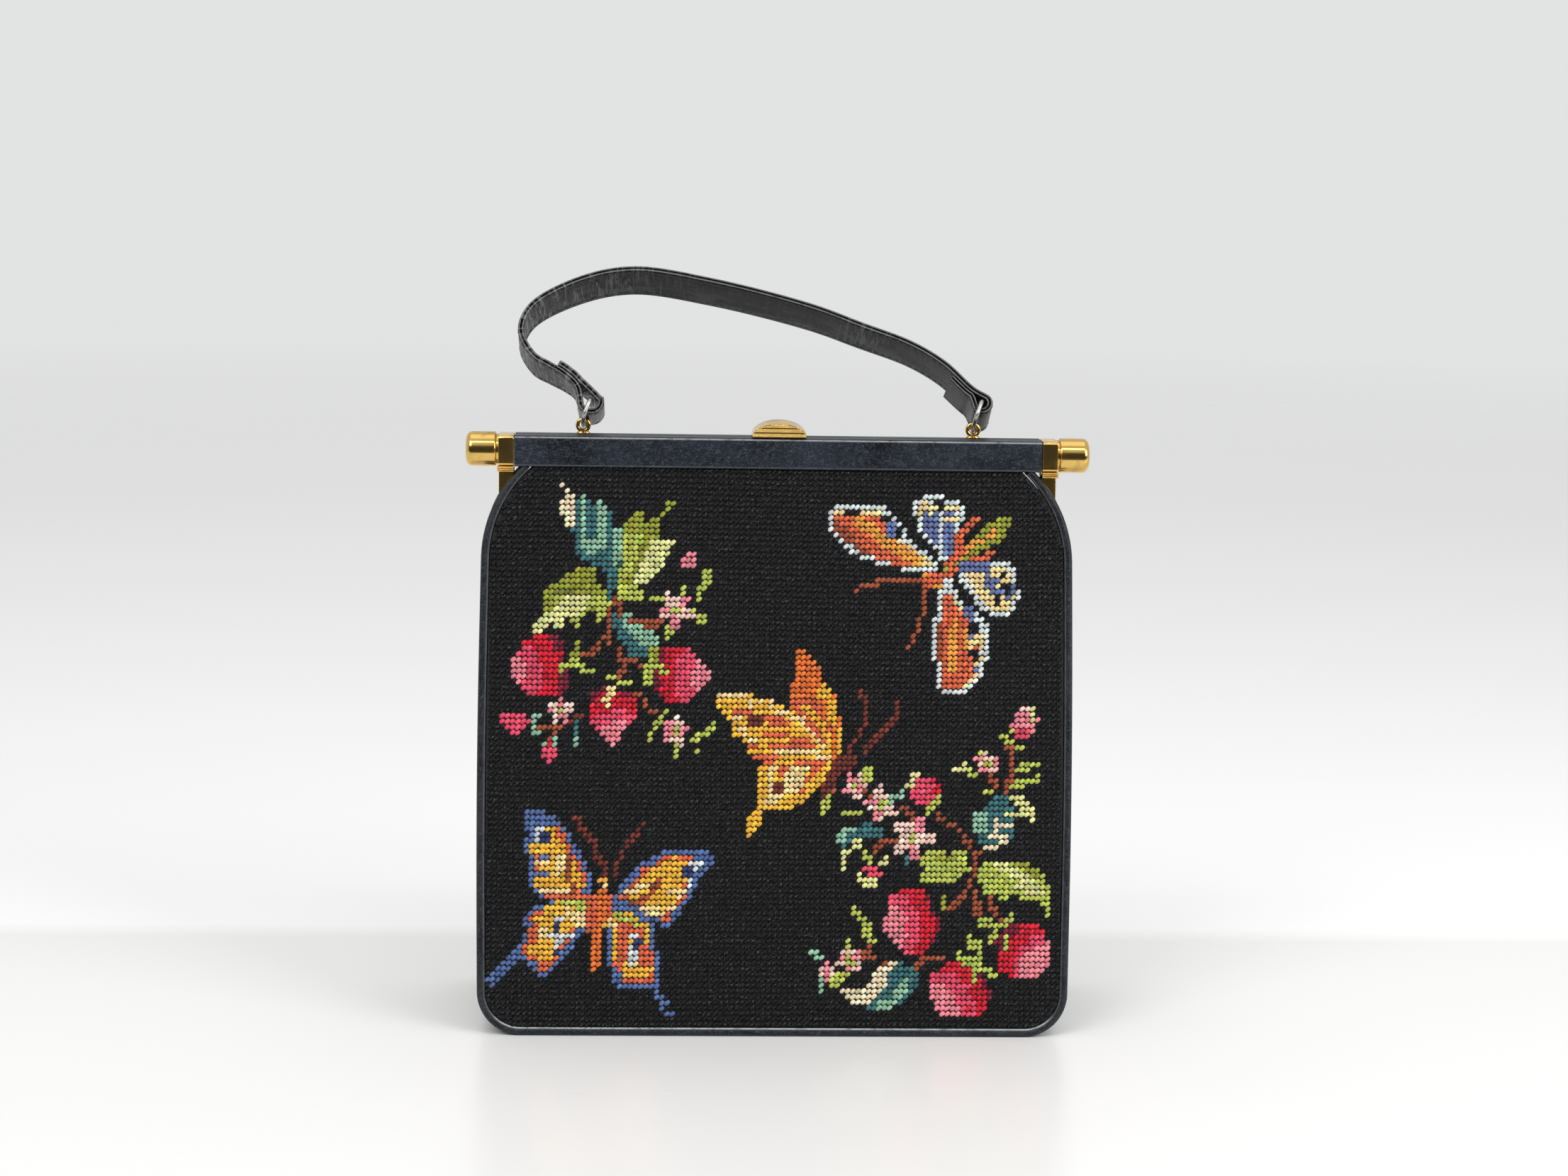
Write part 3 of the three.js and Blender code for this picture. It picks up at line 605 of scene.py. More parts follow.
def chartUpperLeftSpray():
    stem("cream", [(-41.6, 98.4), (-40.4, 97.2), (-40.1, 96)])
    patch("cream", [(-40.7, 96.3), (-38.4, 96.3), (-37.6, 93), (-38.6, 90), (-40.6, 91.1),
        (-41.6, 93.5)])
    patch("teal", [(-38.7, 95.4), (-36.4, 96.6), (-35.6, 94), (-33.6, 95.6), (-32, 93.4),
        (-31.6, 90.7), (-29.3, 90.6), (-28.9, 85.4), (-30.4, 83.4), (-30.6, 80.6), (-31.6, 77.4),
        (-32.4, 77.5), (-32.6, 81.6), (-34, 83.4), (-36.6, 84.5), (-38.4, 85.6), (-38.4, 88.6),
        (-39.7, 89.8), (-38.6, 91.5)], [(-31.4, 75.5), (-30.8, 71), (-28, 68), (-25.4, 67.4),
        (-23, 69), (-22.8, 71), (-25, 73.4), (-29, 75.6)])
    patch("mint", [(-37.8, 91.5), (-37.6, 96.6), (-36.3, 96.6), (-36, 88.6), (-34.6, 88),
        (-34.2, 85.6), (-36.2, 85.6), (-37.6, 87.6)], [(-34.9, 93.5), (-33.6, 95.7), (-32.2, 93.4),
        (-32.2, 86.6), (-33.8, 86.3), (-34.8, 88.6)], [(-31.5, 90.5), (-29.6, 90.5), (-30, 84.4),
        (-31.4, 82.6), (-32.1, 84.6), (-31.5, 86.5)], [(-30.4, 75.5), (-28.6, 75.5), (-25, 73.5),
        (-22.6, 71), (-23, 69.4), (-25.8, 69.6), (-28.6, 71.6), (-29.6, 73.4)])
    patch("olive", [(-29.6, 90.9), (-26.6, 94.4), (-25.5, 92.4), (-25.6, 91.4), (-23, 92.6),
        (-20.8, 95.6), (-19.5, 95.4), (-22, 92.3), (-22.3, 88.8), (-20, 88.6), (-22.6, 83.4),
        (-25, 80.4), (-30, 78.4), (-30.6, 81), (-29.4, 85)], [(-44.6, 75.4), (-44.7, 79.5),
        (-42, 80.6), (-38, 83.4), (-35, 83.2), (-34.4, 81), (-32.6, 79.5), (-31.4, 76.3),
        (-33.7, 73.6), (-35, 76), (-40, 75)])
    patch("lime", [(-29.5, 89.5), (-25.6, 89.4), (-26.4, 86.4), (-27.6, 83), (-30.3, 79.6),
        (-30.6, 81.4), (-29.4, 85.5)], [(-30.6, 79.4), (-24.9, 79.4), (-25.5, 77.9), (-30.6, 77.9)],
        [(-29.6, 80.6), (-26.6, 80.6), (-27, 79), (-29.6, 79)], [(-44.4, 78.4), (-40, 79),
        (-34.5, 78.6), (-31.4, 77.6), (-31.3, 76), (-33.8, 73.4), (-35, 76.3), (-36.4, 75.6),
        (-38, 72.6), (-40, 74.4), (-43, 75)])
    patch("pale", [(-25.4, 86.4), (-23.6, 88.5), (-19.8, 88.5), (-20.6, 86), (-22, 83.4),
        (-24.4, 80.6), (-27.6, 80.5), (-28.2, 81.4), (-26.4, 83.6)], [(-46.8, 71.4), (-45.6, 74.4),
        (-43.4, 75.6), (-41.4, 77.5), (-39, 78.4), (-35.6, 78.3), (-37, 75.6), (-37, 74.4),
        (-40, 74.4), (-41, 72.6), (-42.6, 72.6), (-43.2, 74), (-45, 71.6)])
    patch("moss", [(-42.4, 79.4), (-38, 79.6), (-38, 78.5), (-42.4, 78.4)])
    patch("olive", [(-44.7, 79.4), (-42.3, 79.4), (-42.3, 75.6), (-44.7, 75.6)])
    stem("rust", [(-31, 77.6), (-30, 76.6), (-29.9, 75)], [(-28.6, 74.4), (-27, 73.6), (-23, 73.5),
        (-22.3, 74.4)], [(-31.9, 75.6), (-31.8, 70.4)], [(-32.8, 71.2), (-34.4, 69.2), (-35.3, 68),
        (-37.6, 67.9)], [(-30.4, 69.2), (-30.4, 68), (-29.5, 67), (-27, 67.1), (-26, 66.1)],
        [(-29.3, 66.2), (-29.4, 65), (-30.1, 63.9)], [(-27, 61), (-25.8, 61), (-24.9, 59.6),
        (-24.8, 58.6), (-24, 58), (-22.8, 58)], [(-45.2, 55.2), (-41.2, 55.2)], [(-42, 54.4),
        (-42.9, 53.1)])
    shaded((-50.5, 64.5), (3, 6, 9.6), berry, [(-46.4, 60.4), (-41, 60.4), (-39.2, 62.6),
        (-39.2, 64.5), (-40.6, 65.6), (-40.2, 69.4), (-41.4, 71.5), (-44.6, 71.6), (-47.6, 70.5),
        (-49.6, 68), (-50.6, 65.6), (-50.2, 63.4), (-48.6, 61.6)])
    shaded((-12.2, 64), (4.2, 7.6, 10), berry, [(-23, 69.6), (-17.4, 69.6), (-15.4, 67.4),
        (-12.2, 64.6), (-12.6, 63.4), (-15, 61.5), (-17.6, 59.5), (-21.4, 59.5), (-23.4, 62),
        (-23.6, 66.5)])
    shaded((-30.4, 53), (3.4, 5.4, 8.3), berry, [(-36, 60.6), (-33, 62.5), (-28, 61.5), (-26.4, 59.4),
        (-26.5, 57), (-29, 54.4), (-30.6, 52), (-31.4, 52), (-33.6, 54.4), (-35.8, 56.4),
        (-35.8, 58.6)])
    stem("straw", [(-31, 62), (-32.2, 60.6), (-32.2, 59.6)], reach=0.8)
    stem("lime", [(-32.4, 64), (-30.8, 63.6)], [(-30.4, 62.9), (-27.8, 63.1)], [(-14.4, 80.2),
        (-15.2, 79.2), (-15.5, 77.5)], [(-23.8, 77.7), (-22.3, 77.6)], [(-18.4, 80), (-18.3, 78.8)])
    stem("olive", [(-38, 70), (-38.2, 68)], [(-23.2, 69), (-23.4, 67.3)], reach=0.8)
    stem("lime", [(-40.9, 65), (-40, 66.2), (-38.4, 66.9), (-37.4, 66), (-36.4, 65), (-35.2, 65)],
        [(-20.3, 73.4), (-20.4, 72.5), (-21.3, 71.5)], reach=0.7)
    patch("lime", [(-25.7, 66.6), (-23.4, 67.4), (-23.4, 62.4), (-24.6, 61.6), (-25.8, 63.4)])
    stem("lime", [(-23, 66.2), (-21.8, 66.2), (-21.5, 65.1), (-20.6, 65)], reach=0.6)
    stitch(within(ellipse(-16.9, 84.7, 1.9, 1.5)), "pink")
    dots("pink", (-16.9, 86.2))
    stem("lime", [(-13.4, 82.6), (-14, 81)], reach=0.95)
    dots("lime", (-16.2, 75.5), (-15, 74.4), (-14, 74.5))
    blossom(-19.4, 76, 2.9, 0.9)
    blossom(-41, 58, 2.2, 1.5)
    blossom(-19.2, 54.6, 2.5, 0.2)
    shaded((-51, 55), (3, 4.4), ("rose", "rose", "red"), ellipse(-49.4, 55.9, 2.5, 2.1))
    dots("rose", (-51.7, 56.5))
    stem("mint", [(-45.5, 57.4), (-46.2, 56.2), (-46.3, 55), (-45.4, 54)], reach=0.7)
    stem("brown", [(-39, 56), (-37.3, 57.4)], reach=0.5)
    stem("teal", [(-38, 56), (-38.2, 54.2)])
    dots("mint", (-37.9, 53.1), (-38.1, 52.1))
    shaded((-43.4, 49), (2.4, 4), ("rose", "red", "red"), ellipse(-43, 50.8, 1.7, 2.1))
    dots("mint", (-44.2, 52.2), (-41.9, 52.4))
    stem("lime", [(-20.9, 58), (-22, 56.8), (-23.4, 54.8), (-24, 52.8)], [(-18.8, 51.6),
        (-18.6, 49.4)], [(-14.7, 51.5), (-14.7, 50.5)])
    stem("lime", [(-15.7, 52.8), (-14.6, 53.8), (-13.2, 54), (-11.9, 55.6)], reach=0.65)


def chartUpperRightButterfly():
    wing((1.0, 2.0), whiteWing, [(9.6, 94.4), (10.8, 95.7), (18.9, 95.7), (20.9, 94.7), (22.9, 92.4),
        (24, 91.4), (24.5, 89.8), (27.3, 87.6), (30.5, 85.6), (31, 83.6), (25.5, 83.6), (19.3, 84.8),
        (13.8, 86.8), (11.6, 88.4), (9.8, 91)])
    patch("salmon", [(10.8, 93.6), (12.8, 93.6), (14, 91.6), (20.6, 91.4), (24, 87.4), (28.6, 85.4),
        (23.4, 84.6), (16.4, 86.6), (12.8, 89), (10.8, 91.4)], [(27.6, 83.6), (31, 84), (32.4, 83),
        (31, 80.6), (27.6, 80.4)])
    patch("rust", [(10.8, 92.6), (13.4, 91), (15, 88.4), (19, 86.4), (16, 86.6), (12.8, 89),
        (10.8, 91)])
    stem("amber", [(15.6, 92.3), (18, 91), (20.4, 88.6), (23, 87.4), (26.5, 85.9)], reach=1.15)
    patch("black", [(13, 94.6), (15.6, 94.4), (15.4, 93.4), (13, 93.6)], [(19.6, 94), (21.6, 93.4),
        (22.4, 92.4), (21, 92.6), (19.6, 93)], [(22.5, 91.6), (23.5, 91.4), (23.4, 89.6),
        (22.4, 89.6)])
    patch("slate", [(21, 93), (22.6, 92.6), (22.3, 89.5), (21, 89.7)])
    wing((1.1,), ("white", "straw"), [(24.8, 94.4), (26.4, 96.6), (31.4, 97.9), (31.6, 96.4),
        (34.4, 96.6), (35.3, 94.4), (34.8, 91), (33.3, 90.2), (33.4, 86.4), (31.2, 85.6), (29.4, 88.4),
        (27, 90.4), (26.2, 92.8)])
    patch("slate", [(28, 94.8), (30, 94.4), (33.4, 94), (33.6, 91.4), (33.2, 86.6), (31.4, 86),
        (29.4, 89), (28, 90.4)])
    patch("white", [(30.4, 95), (31.4, 95), (31.2, 86), (30.2, 87.6)])
    patch("black", [(29.6, 96.4), (31.4, 96.6), (31.4, 94.6), (29.8, 95.2)])
    dots("straw", (29.4, 94.4), (32.5, 93.4), (33.4, 95))
    patch("olive", [(31, 82.6), (33.6, 83.8), (38, 86.8), (41.8, 88.6), (44.4, 91.6), (44.6, 94),
        (42.6, 94), (38.6, 91), (35.4, 88.2), (32.6, 85.4)])
    stem("amber", [(33.6, 85.6), (35.6, 87), (36, 88.2), (38.6, 89), (41.4, 90.6)], reach=0.62)
    stem("salmon", [(34.2, 87.2), (34.8, 90), (36.2, 91.8), (37.6, 92.8)], reach=0.85)
    stem("salmon", [(31.6, 85), (34.4, 86)], reach=0.5)
    stem("salmon", [(33, 83.4), (36, 85.2), (39, 85.8), (41.3, 87.3)], reach=0.62)
    dots("amber", (28.2, 83.2), (30.4, 81.1))
    stem("rust", [(27.4, 82.2), (20, 82.4), (18.8, 81.3), (16, 81.2), (15, 80.1)], [(28.4, 80.4),
        (27.8, 78.6), (27.6, 75.6), (26.9, 73.4), (26, 71.4), (25.1, 69.9)])
    wing((0.95,), ("white", "straw"), [(34.6, 84.7), (40, 85.8), (43.6, 85.6), (46, 83.2),
        (45.4, 81.6), (46.4, 79), (44.6, 75.6), (40.8, 75.6), (38.4, 77.4), (36, 81), (34.8, 82)])
    stem("slate", [(35, 84.4), (40, 84.6)], reach=0.7)
    patch("slate", [(39.6, 84), (40.8, 84.6), (41, 82.6), (43.6, 81.6), (44, 80.6), (45.6, 81.4),
        (45, 79.2), (43.4, 78.4), (41.4, 77.4), (40.8, 80.4), (38.6, 80.4), (40, 82.4)])
    dots("straw", (42, 84), (41.6, 81.4), (40, 79.4), (43.2, 78.8))
    patch("black", [(42.4, 81.4), (44.6, 81.4), (44.6, 79.8), (43.4, 79.8)])
    dots("black", (43.4, 83.4), (41.8, 78.4))
    wing((1.05, 1.9), whiteWing, [(31.6, 82.7), (33.4, 82.4), (34.2, 79.4), (38.6, 75.7), (40, 74.8),
        (40.1, 68), (38.8, 63.6), (35.6, 61.2), (32.6, 61.2), (30.8, 63.2), (29.4, 70), (29.6, 74),
        (30.4, 77), (31, 80)])
    patch("salmon", [(32, 79.6), (33.2, 79.6), (33.6, 76.4), (36.4, 72.6), (36.4, 64), (34.4, 62),
        (32, 63), (31, 68), (31, 74.6), (31.4, 77.4)])
    patch("rust", [(31.4, 77.4), (32, 77.4), (32, 72), (31.6, 67), (31, 68), (31, 74)])
    patch("amber", [(33.6, 76.2), (34.8, 75.6), (34.8, 65.4), (32.8, 65.4), (32.8, 72.6), (33.4, 74)])
    stem("amber", [(35.7, 73.4), (35.8, 70.4)], reach=0.5)
    patch("straw", [(34.4, 77.8), (36.6, 74.6), (36.8, 69.6), (38.8, 70.4), (38.8, 72.4), (36.6, 72.4),
        (36.4, 75.8)])
    patch("slate", [(34.6, 76.6), (37, 77.4), (38.4, 75.4), (36.4, 74.8)])
    patch("black", [(36.6, 74.4), (38.8, 75), (38.4, 72.8), (37, 73)], [(36.6, 69.6), (38.9, 69.8),
        (38.8, 67.4), (37.4, 67.2)])
    dots("slate", (36.9, 72), (37.8, 65.9))


def chartMiddleButterfly():
    patch("orange", [(3.6, 69.6), (5, 69.6), (8.2, 66.4), (9.3, 63), (10.6, 62.4), (11.8, 60),
        (11.8, 57.4), (12.8, 56.4), (12.8, 50.4), (10.6, 49.4), (4, 54), (4, 58), (2.2, 58.6),
        (2, 62.6), (4, 64.2), (3.6, 66.6)])
    patch("salmon", [(2.2, 60.4), (7.4, 60.4), (9.6, 57), (10.4, 53.4), (10.4, 50), (4, 54), (4, 58)])
    patch("gold", [(7.6, 62.6), (9.4, 63.2), (11.6, 60), (11.8, 56), (12.8, 54.4), (12.8, 50.4),
        (11.6, 50.4), (11.6, 54.4), (9.6, 57.4), (9.4, 60.4), (7.6, 60.6)], [(-11.3, 59),
        (-10.8, 61.4), (-6, 61.3), (0, 59.8), (4.4, 57.6), (10, 51.4), (9.6, 49.4), (-4, 49.4),
        (-5.9, 52), (-6.1, 53.6), (-8.3, 53.8), (-8.4, 56.4)], [(-2.8, 49.5), (10.8, 49.6),
        (9.8, 46.8), (8.6, 45), (6.4, 43), (4, 41), (-3.4, 40.4), (-3.8, 46)], [(-2.4, 40.6),
        (-3, 41.2), (-5.9, 38.8), (-5.4, 36), (-4.4, 36), (-2.4, 38.6)])
    stem("gold", [(5, 59.2), (6.6, 57.8), (7.8, 56.4), (9, 55), (10, 53), (9.6, 51)], reach=0.75)
    stem("straw", [(-10.8, 60.8), (-6.2, 60.8)], reach=0.6)
    for low, high, height in ((-8.2, -5, 58.4), (-2.8, 1, 57), (-1, 2.4, 55.9), (-2.4, 1.6, 54),
            (2.6, 6.2, 53), (-0.6, 7.4, 52), (-5, -3.4, 51.6), (-3.6, 0, 50)):
        stem("salmon", [(low, height), (high, height)])
    dots("straw", (-5, 59.6), (-3.4, 59.6), (-1, 59.4), (-7.4, 57.2), (-6.6, 55), (-5.8, 54.2),
        (-4.4, 53), (0.6, 58), (2, 58))
    patch("brown", [(-5, 57.9), (-2.9, 57.9), (-2.9, 55.6), (-5, 55.6)], [(-0.6, 45.6), (1.5, 45.6),
        (1.5, 43.4), (-0.6, 43.4)], [(11.6, 50.4), (16.2, 50.4), (14.6, 48.2), (12.8, 47.2),
        (10.8, 44.4), (9.2, 42.6), (8.6, 42.6), (8.6, 45), (9.6, 47.4), (10.8, 48.6)])
    stem("straw", [(2.6, 57.4), (4.4, 57.2), (5, 56), (6, 55), (7, 54), (8, 53), (9.2, 52)],
        [(0.2, 50.9), (7.6, 50.9)], [(8.2, 49.9), (9.6, 49.9)])
    patch("salmon", [(-2.8, 49.4), (0, 49.4), (0, 48.4), (-2.8, 48.4)], [(3, 49.4), (9.8, 49.2),
        (8.4, 47.4), (5.8, 45.4), (5.6, 43.4), (3, 43), (3.4, 45), (6.6, 47.4)], [(0.4, 48.4),
        (2.4, 48.4), (1.6, 46.6), (0.2, 46.4)])
    patch("straw", [(-1.4, 48.4), (0.4, 48.4), (-0.4, 46), (-0.6, 43.4), (1.4, 43.4), (1.4, 42.6),
        (0, 41.6), (-2.4, 41.6), (-1, 43.6)], [(2.4, 48.4), (6.6, 48.4), (4.4, 43.4), (1.6, 43.4),
        (1.4, 45.4), (0.8, 46.4)])
    stem("brown", [(13.9, 50.8), (14, 52), (15.4, 53.4), (16.4, 55.2), (17.3, 57), (17.3, 60.2),
        (16.3, 61.2), (16.2, 62.3)], [(16.4, 50.6), (19.4, 53.8), (22.4, 56.9), (23.3, 60.2)])


def chartLowerLeftButterfly():
    wing((1.05, 1.9), blueWing, [(-47.8, 40.3), (-43.6, 40.4), (-40.2, 37.8), (-37.4, 34.2),
        (-34.8, 29.4), (-33.9, 27.6), (-34.4, 25.4), (-39, 24.6), (-44.8, 24.8), (-46.4, 27),
        (-46.4, 31), (-47.2, 33), (-47.2, 35.4), (-46.4, 36.4), (-47.8, 37.4)])
    patch("blue", [(-47.8, 40.3), (-43.6, 40.4), (-41, 38.4), (-44, 37.4), (-47.8, 37.4)])
    patch("white", [(-45.6, 38), (-44.4, 38), (-42.6, 36.4), (-44.4, 36), (-44.4, 34.4),
        (-45.4, 34.4)])
    patch("navy", [(-44.4, 36.4), (-42.4, 36.4), (-42.4, 34.2), (-44.4, 34.2)])
    patch("gold", [(-46.6, 34.9), (-45, 34.9), (-42, 34.2), (-42, 32.9), (-46.6, 33)], [(-45.2, 28.7),
        (-40, 28.4), (-40, 26.6), (-45.2, 26.8)])
    stem("slate", [(-44.4, 32.2), (-42.6, 32.2)], [(-44.6, 29.2), (-42.6, 29.2)])
    stem("straw", [(-44.6, 31.3), (-43, 31)], [(-44, 26.2), (-39.4, 26.3)])
    patch("straw", [(-41.8, 31.8), (-39.6, 32.8), (-39.4, 31), (-40, 29), (-41.8, 29)])
    stem("rust", [(-39.3, 31.6), (-38.9, 29), (-38.2, 26.4)], reach=0.5)
    patch("salmon", [(-43.4, 25.7), (-34, 25.9), (-34, 24.4), (-43.4, 24.6)])
    wing((1.05, 2.0), blueWing, [(-21, 33.6), (-13.6, 33.8), (-11.6, 32.6), (-11.7, 31), (-13.2, 29.6),
        (-15.2, 26.6), (-16.2, 24.4), (-17.4, 22.4), (-20, 19.8), (-24, 20.4), (-27, 23),
        (-30.8, 23.9), (-30.6, 25.2), (-28, 28.2), (-25, 31.2), (-22.6, 32.2)])
    patch("blue", [(-15.6, 32.9), (-11.6, 32.9), (-11.6, 31), (-14, 29), (-16.6, 28.8), (-16, 31)])
    patch("navy", [(-17.6, 30.6), (-15.6, 30.6), (-15.6, 28.6), (-17.6, 28.6)])
    stem("white", [(-15.8, 31), (-14.3, 31.1)], [(-15.2, 30), (-15.3, 29.9)], [(-15.9, 28),
        (-15.9, 26.8)])
    stem("straw", [(-20, 26), (-17.6, 25.6)], reach=0.8)
    stem("rust", [(-22.2, 28.2), (-22.6, 26.6), (-24, 25), (-27.4, 23.8)], reach=0.6)
    stem("straw", [(-27.6, 25.8), (-24, 27.2)], reach=0.6)
    stem("straw", [(-25, 22.8), (-21.4, 22.4)], reach=0.7)
    stem("straw", [(-20, 22.9), (-18.6, 23.2)])
    stem("navy", [(-24.6, 21), (-23.2, 20.9)])
    wing((1.05, 1.9), blueWing, [(-40.6, 24.9), (-43.4, 23.7), (-46, 22.8), (-48, 20.6), (-46.6, 19.2),
        (-48, 16), (-49.4, 15), (-54, 10.6), (-53.8, 9), (-52.6, 9.4), (-48.4, 13.5), (-45.2, 12.4),
        (-44.6, 10.4), (-43, 10.2), (-40.2, 13), (-37.8, 16), (-35, 20.4), (-34, 24.6)])
    patch("gold", [(-43, 23.4), (-40, 24.4), (-36, 23), (-36, 21), (-41, 20.6), (-44.6, 21)])
    patch("lime", [(-40, 24.8), (-35.6, 24.8), (-35, 22.2), (-36.6, 22.2), (-38, 23.8), (-40, 23.8)])
    patch("straw", [(-39.4, 23.2), (-36.8, 22.8), (-34.6, 21.8), (-36.6, 19.2), (-38.6, 20.6),
        (-39.6, 22)], [(-44.6, 19.8), (-42.2, 19.8), (-42.2, 17.8), (-44.6, 18)])
    patch("navy", [(-41.9, 20.8), (-40.2, 20.8), (-40.2, 18.6), (-41.6, 18.6)], [(-41.8, 15.8),
        (-40, 15.8), (-40.2, 14.2), (-41.8, 14.2)])
    stem("white", [(-41, 21.2), (-40.2, 21.2)], [(-40.4, 17.2), (-41.2, 15.8)])
    stem("white", [(-42, 18), (-40.2, 18.4), (-38, 18.1)], reach=0.5)
    patch("salmon", [(-46, 19.4), (-44.8, 19.4), (-44.6, 16.4), (-46, 16.4)])
    stem("blue", [(-48.6, 14.2), (-53.4, 9.8)], reach=0.9)
    wing((1.05, 1.8), blueWing, [(-31, 20), (-30.8, 23.6), (-26, 23), (-22.4, 19.8), (-22.2, 16),
        (-21.1, 15.4), (-21, 11.4), (-21.8, 8.4), (-28.2, 8.4), (-30.4, 10), (-30.4, 12.2),
        (-31.5, 13), (-31.5, 18.6)])
    patch("gold", [(-30.7, 22.8), (-27, 22.8), (-25.4, 21), (-23.2, 20.4), (-23.4, 16), (-30.6, 13.6),
        (-30.7, 19)])
    patch("salmon", [(-29, 21.4), (-26.6, 20), (-24, 19.6), (-25, 17.6), (-27, 18.4), (-28, 13.4),
        (-29.4, 13.6)])
    stem("lime", [(-30, 21.6), (-28.6, 21.5)], [(-28.2, 20.7), (-26.4, 20.6)])
    dots("lime", (-26, 19.8))
    patch("navy", [(-26.9, 17.3), (-24.8, 17.3), (-24.8, 15.4), (-26.6, 15.4)])
    stem("white", [(-26.8, 18.1), (-26, 17.8)])
    stem("white", [(-27, 15.4), (-26.8, 13.4), (-25.6, 14.9)], reach=0.6)
    stem("straw", [(-24, 15), (-23.8, 13.8), (-26.6, 12.4)], [(-32.6, 26.6), (-31.4, 26.6)],
        [(-31.2, 20.6), (-30.4, 19.8)])
    patch("salmon", [(-25.4, 16.2), (-22.4, 15.8), (-22.2, 12.4), (-26, 12)], [(-35.4, 25.8),
        (-30.6, 25.6), (-30.4, 22.4), (-33, 18), (-35, 18.2)])
    stem("gold", [(-27, 10.8), (-24.4, 12), (-24.2, 10.8)], reach=0.8)
    stem("blue", [(-22, 7.6), (-20.6, 6.2)], reach=0.95)
    dots("blue", (-21, 5.2), (-19.7, 4.1))
    patch("orange", [(-33.6, 27), (-31, 27), (-31.2, 20), (-32.4, 19), (-33.6, 20)], [(-34.9, 19.6),
        (-32.8, 19.4), (-32.6, 13), (-34, 11.2), (-34.9, 12.4)])
    stem("amber", [(-32.8, 27.6), (-31.4, 27.6)])
    dots("gold", (-31.6, 19.6))
    stem("brown", [(-38.2, 39.5), (-36.9, 38.6), (-36.9, 37.6), (-34.7, 35.4), (-33.6, 33.2),
        (-33.5, 31.8), (-32.4, 30.8), (-32.3, 28.6)], [(-24.8, 38), (-28.5, 33.8), (-28.6, 32.8),
        (-29.5, 31.4), (-30.6, 28.6)], reach=0.5)


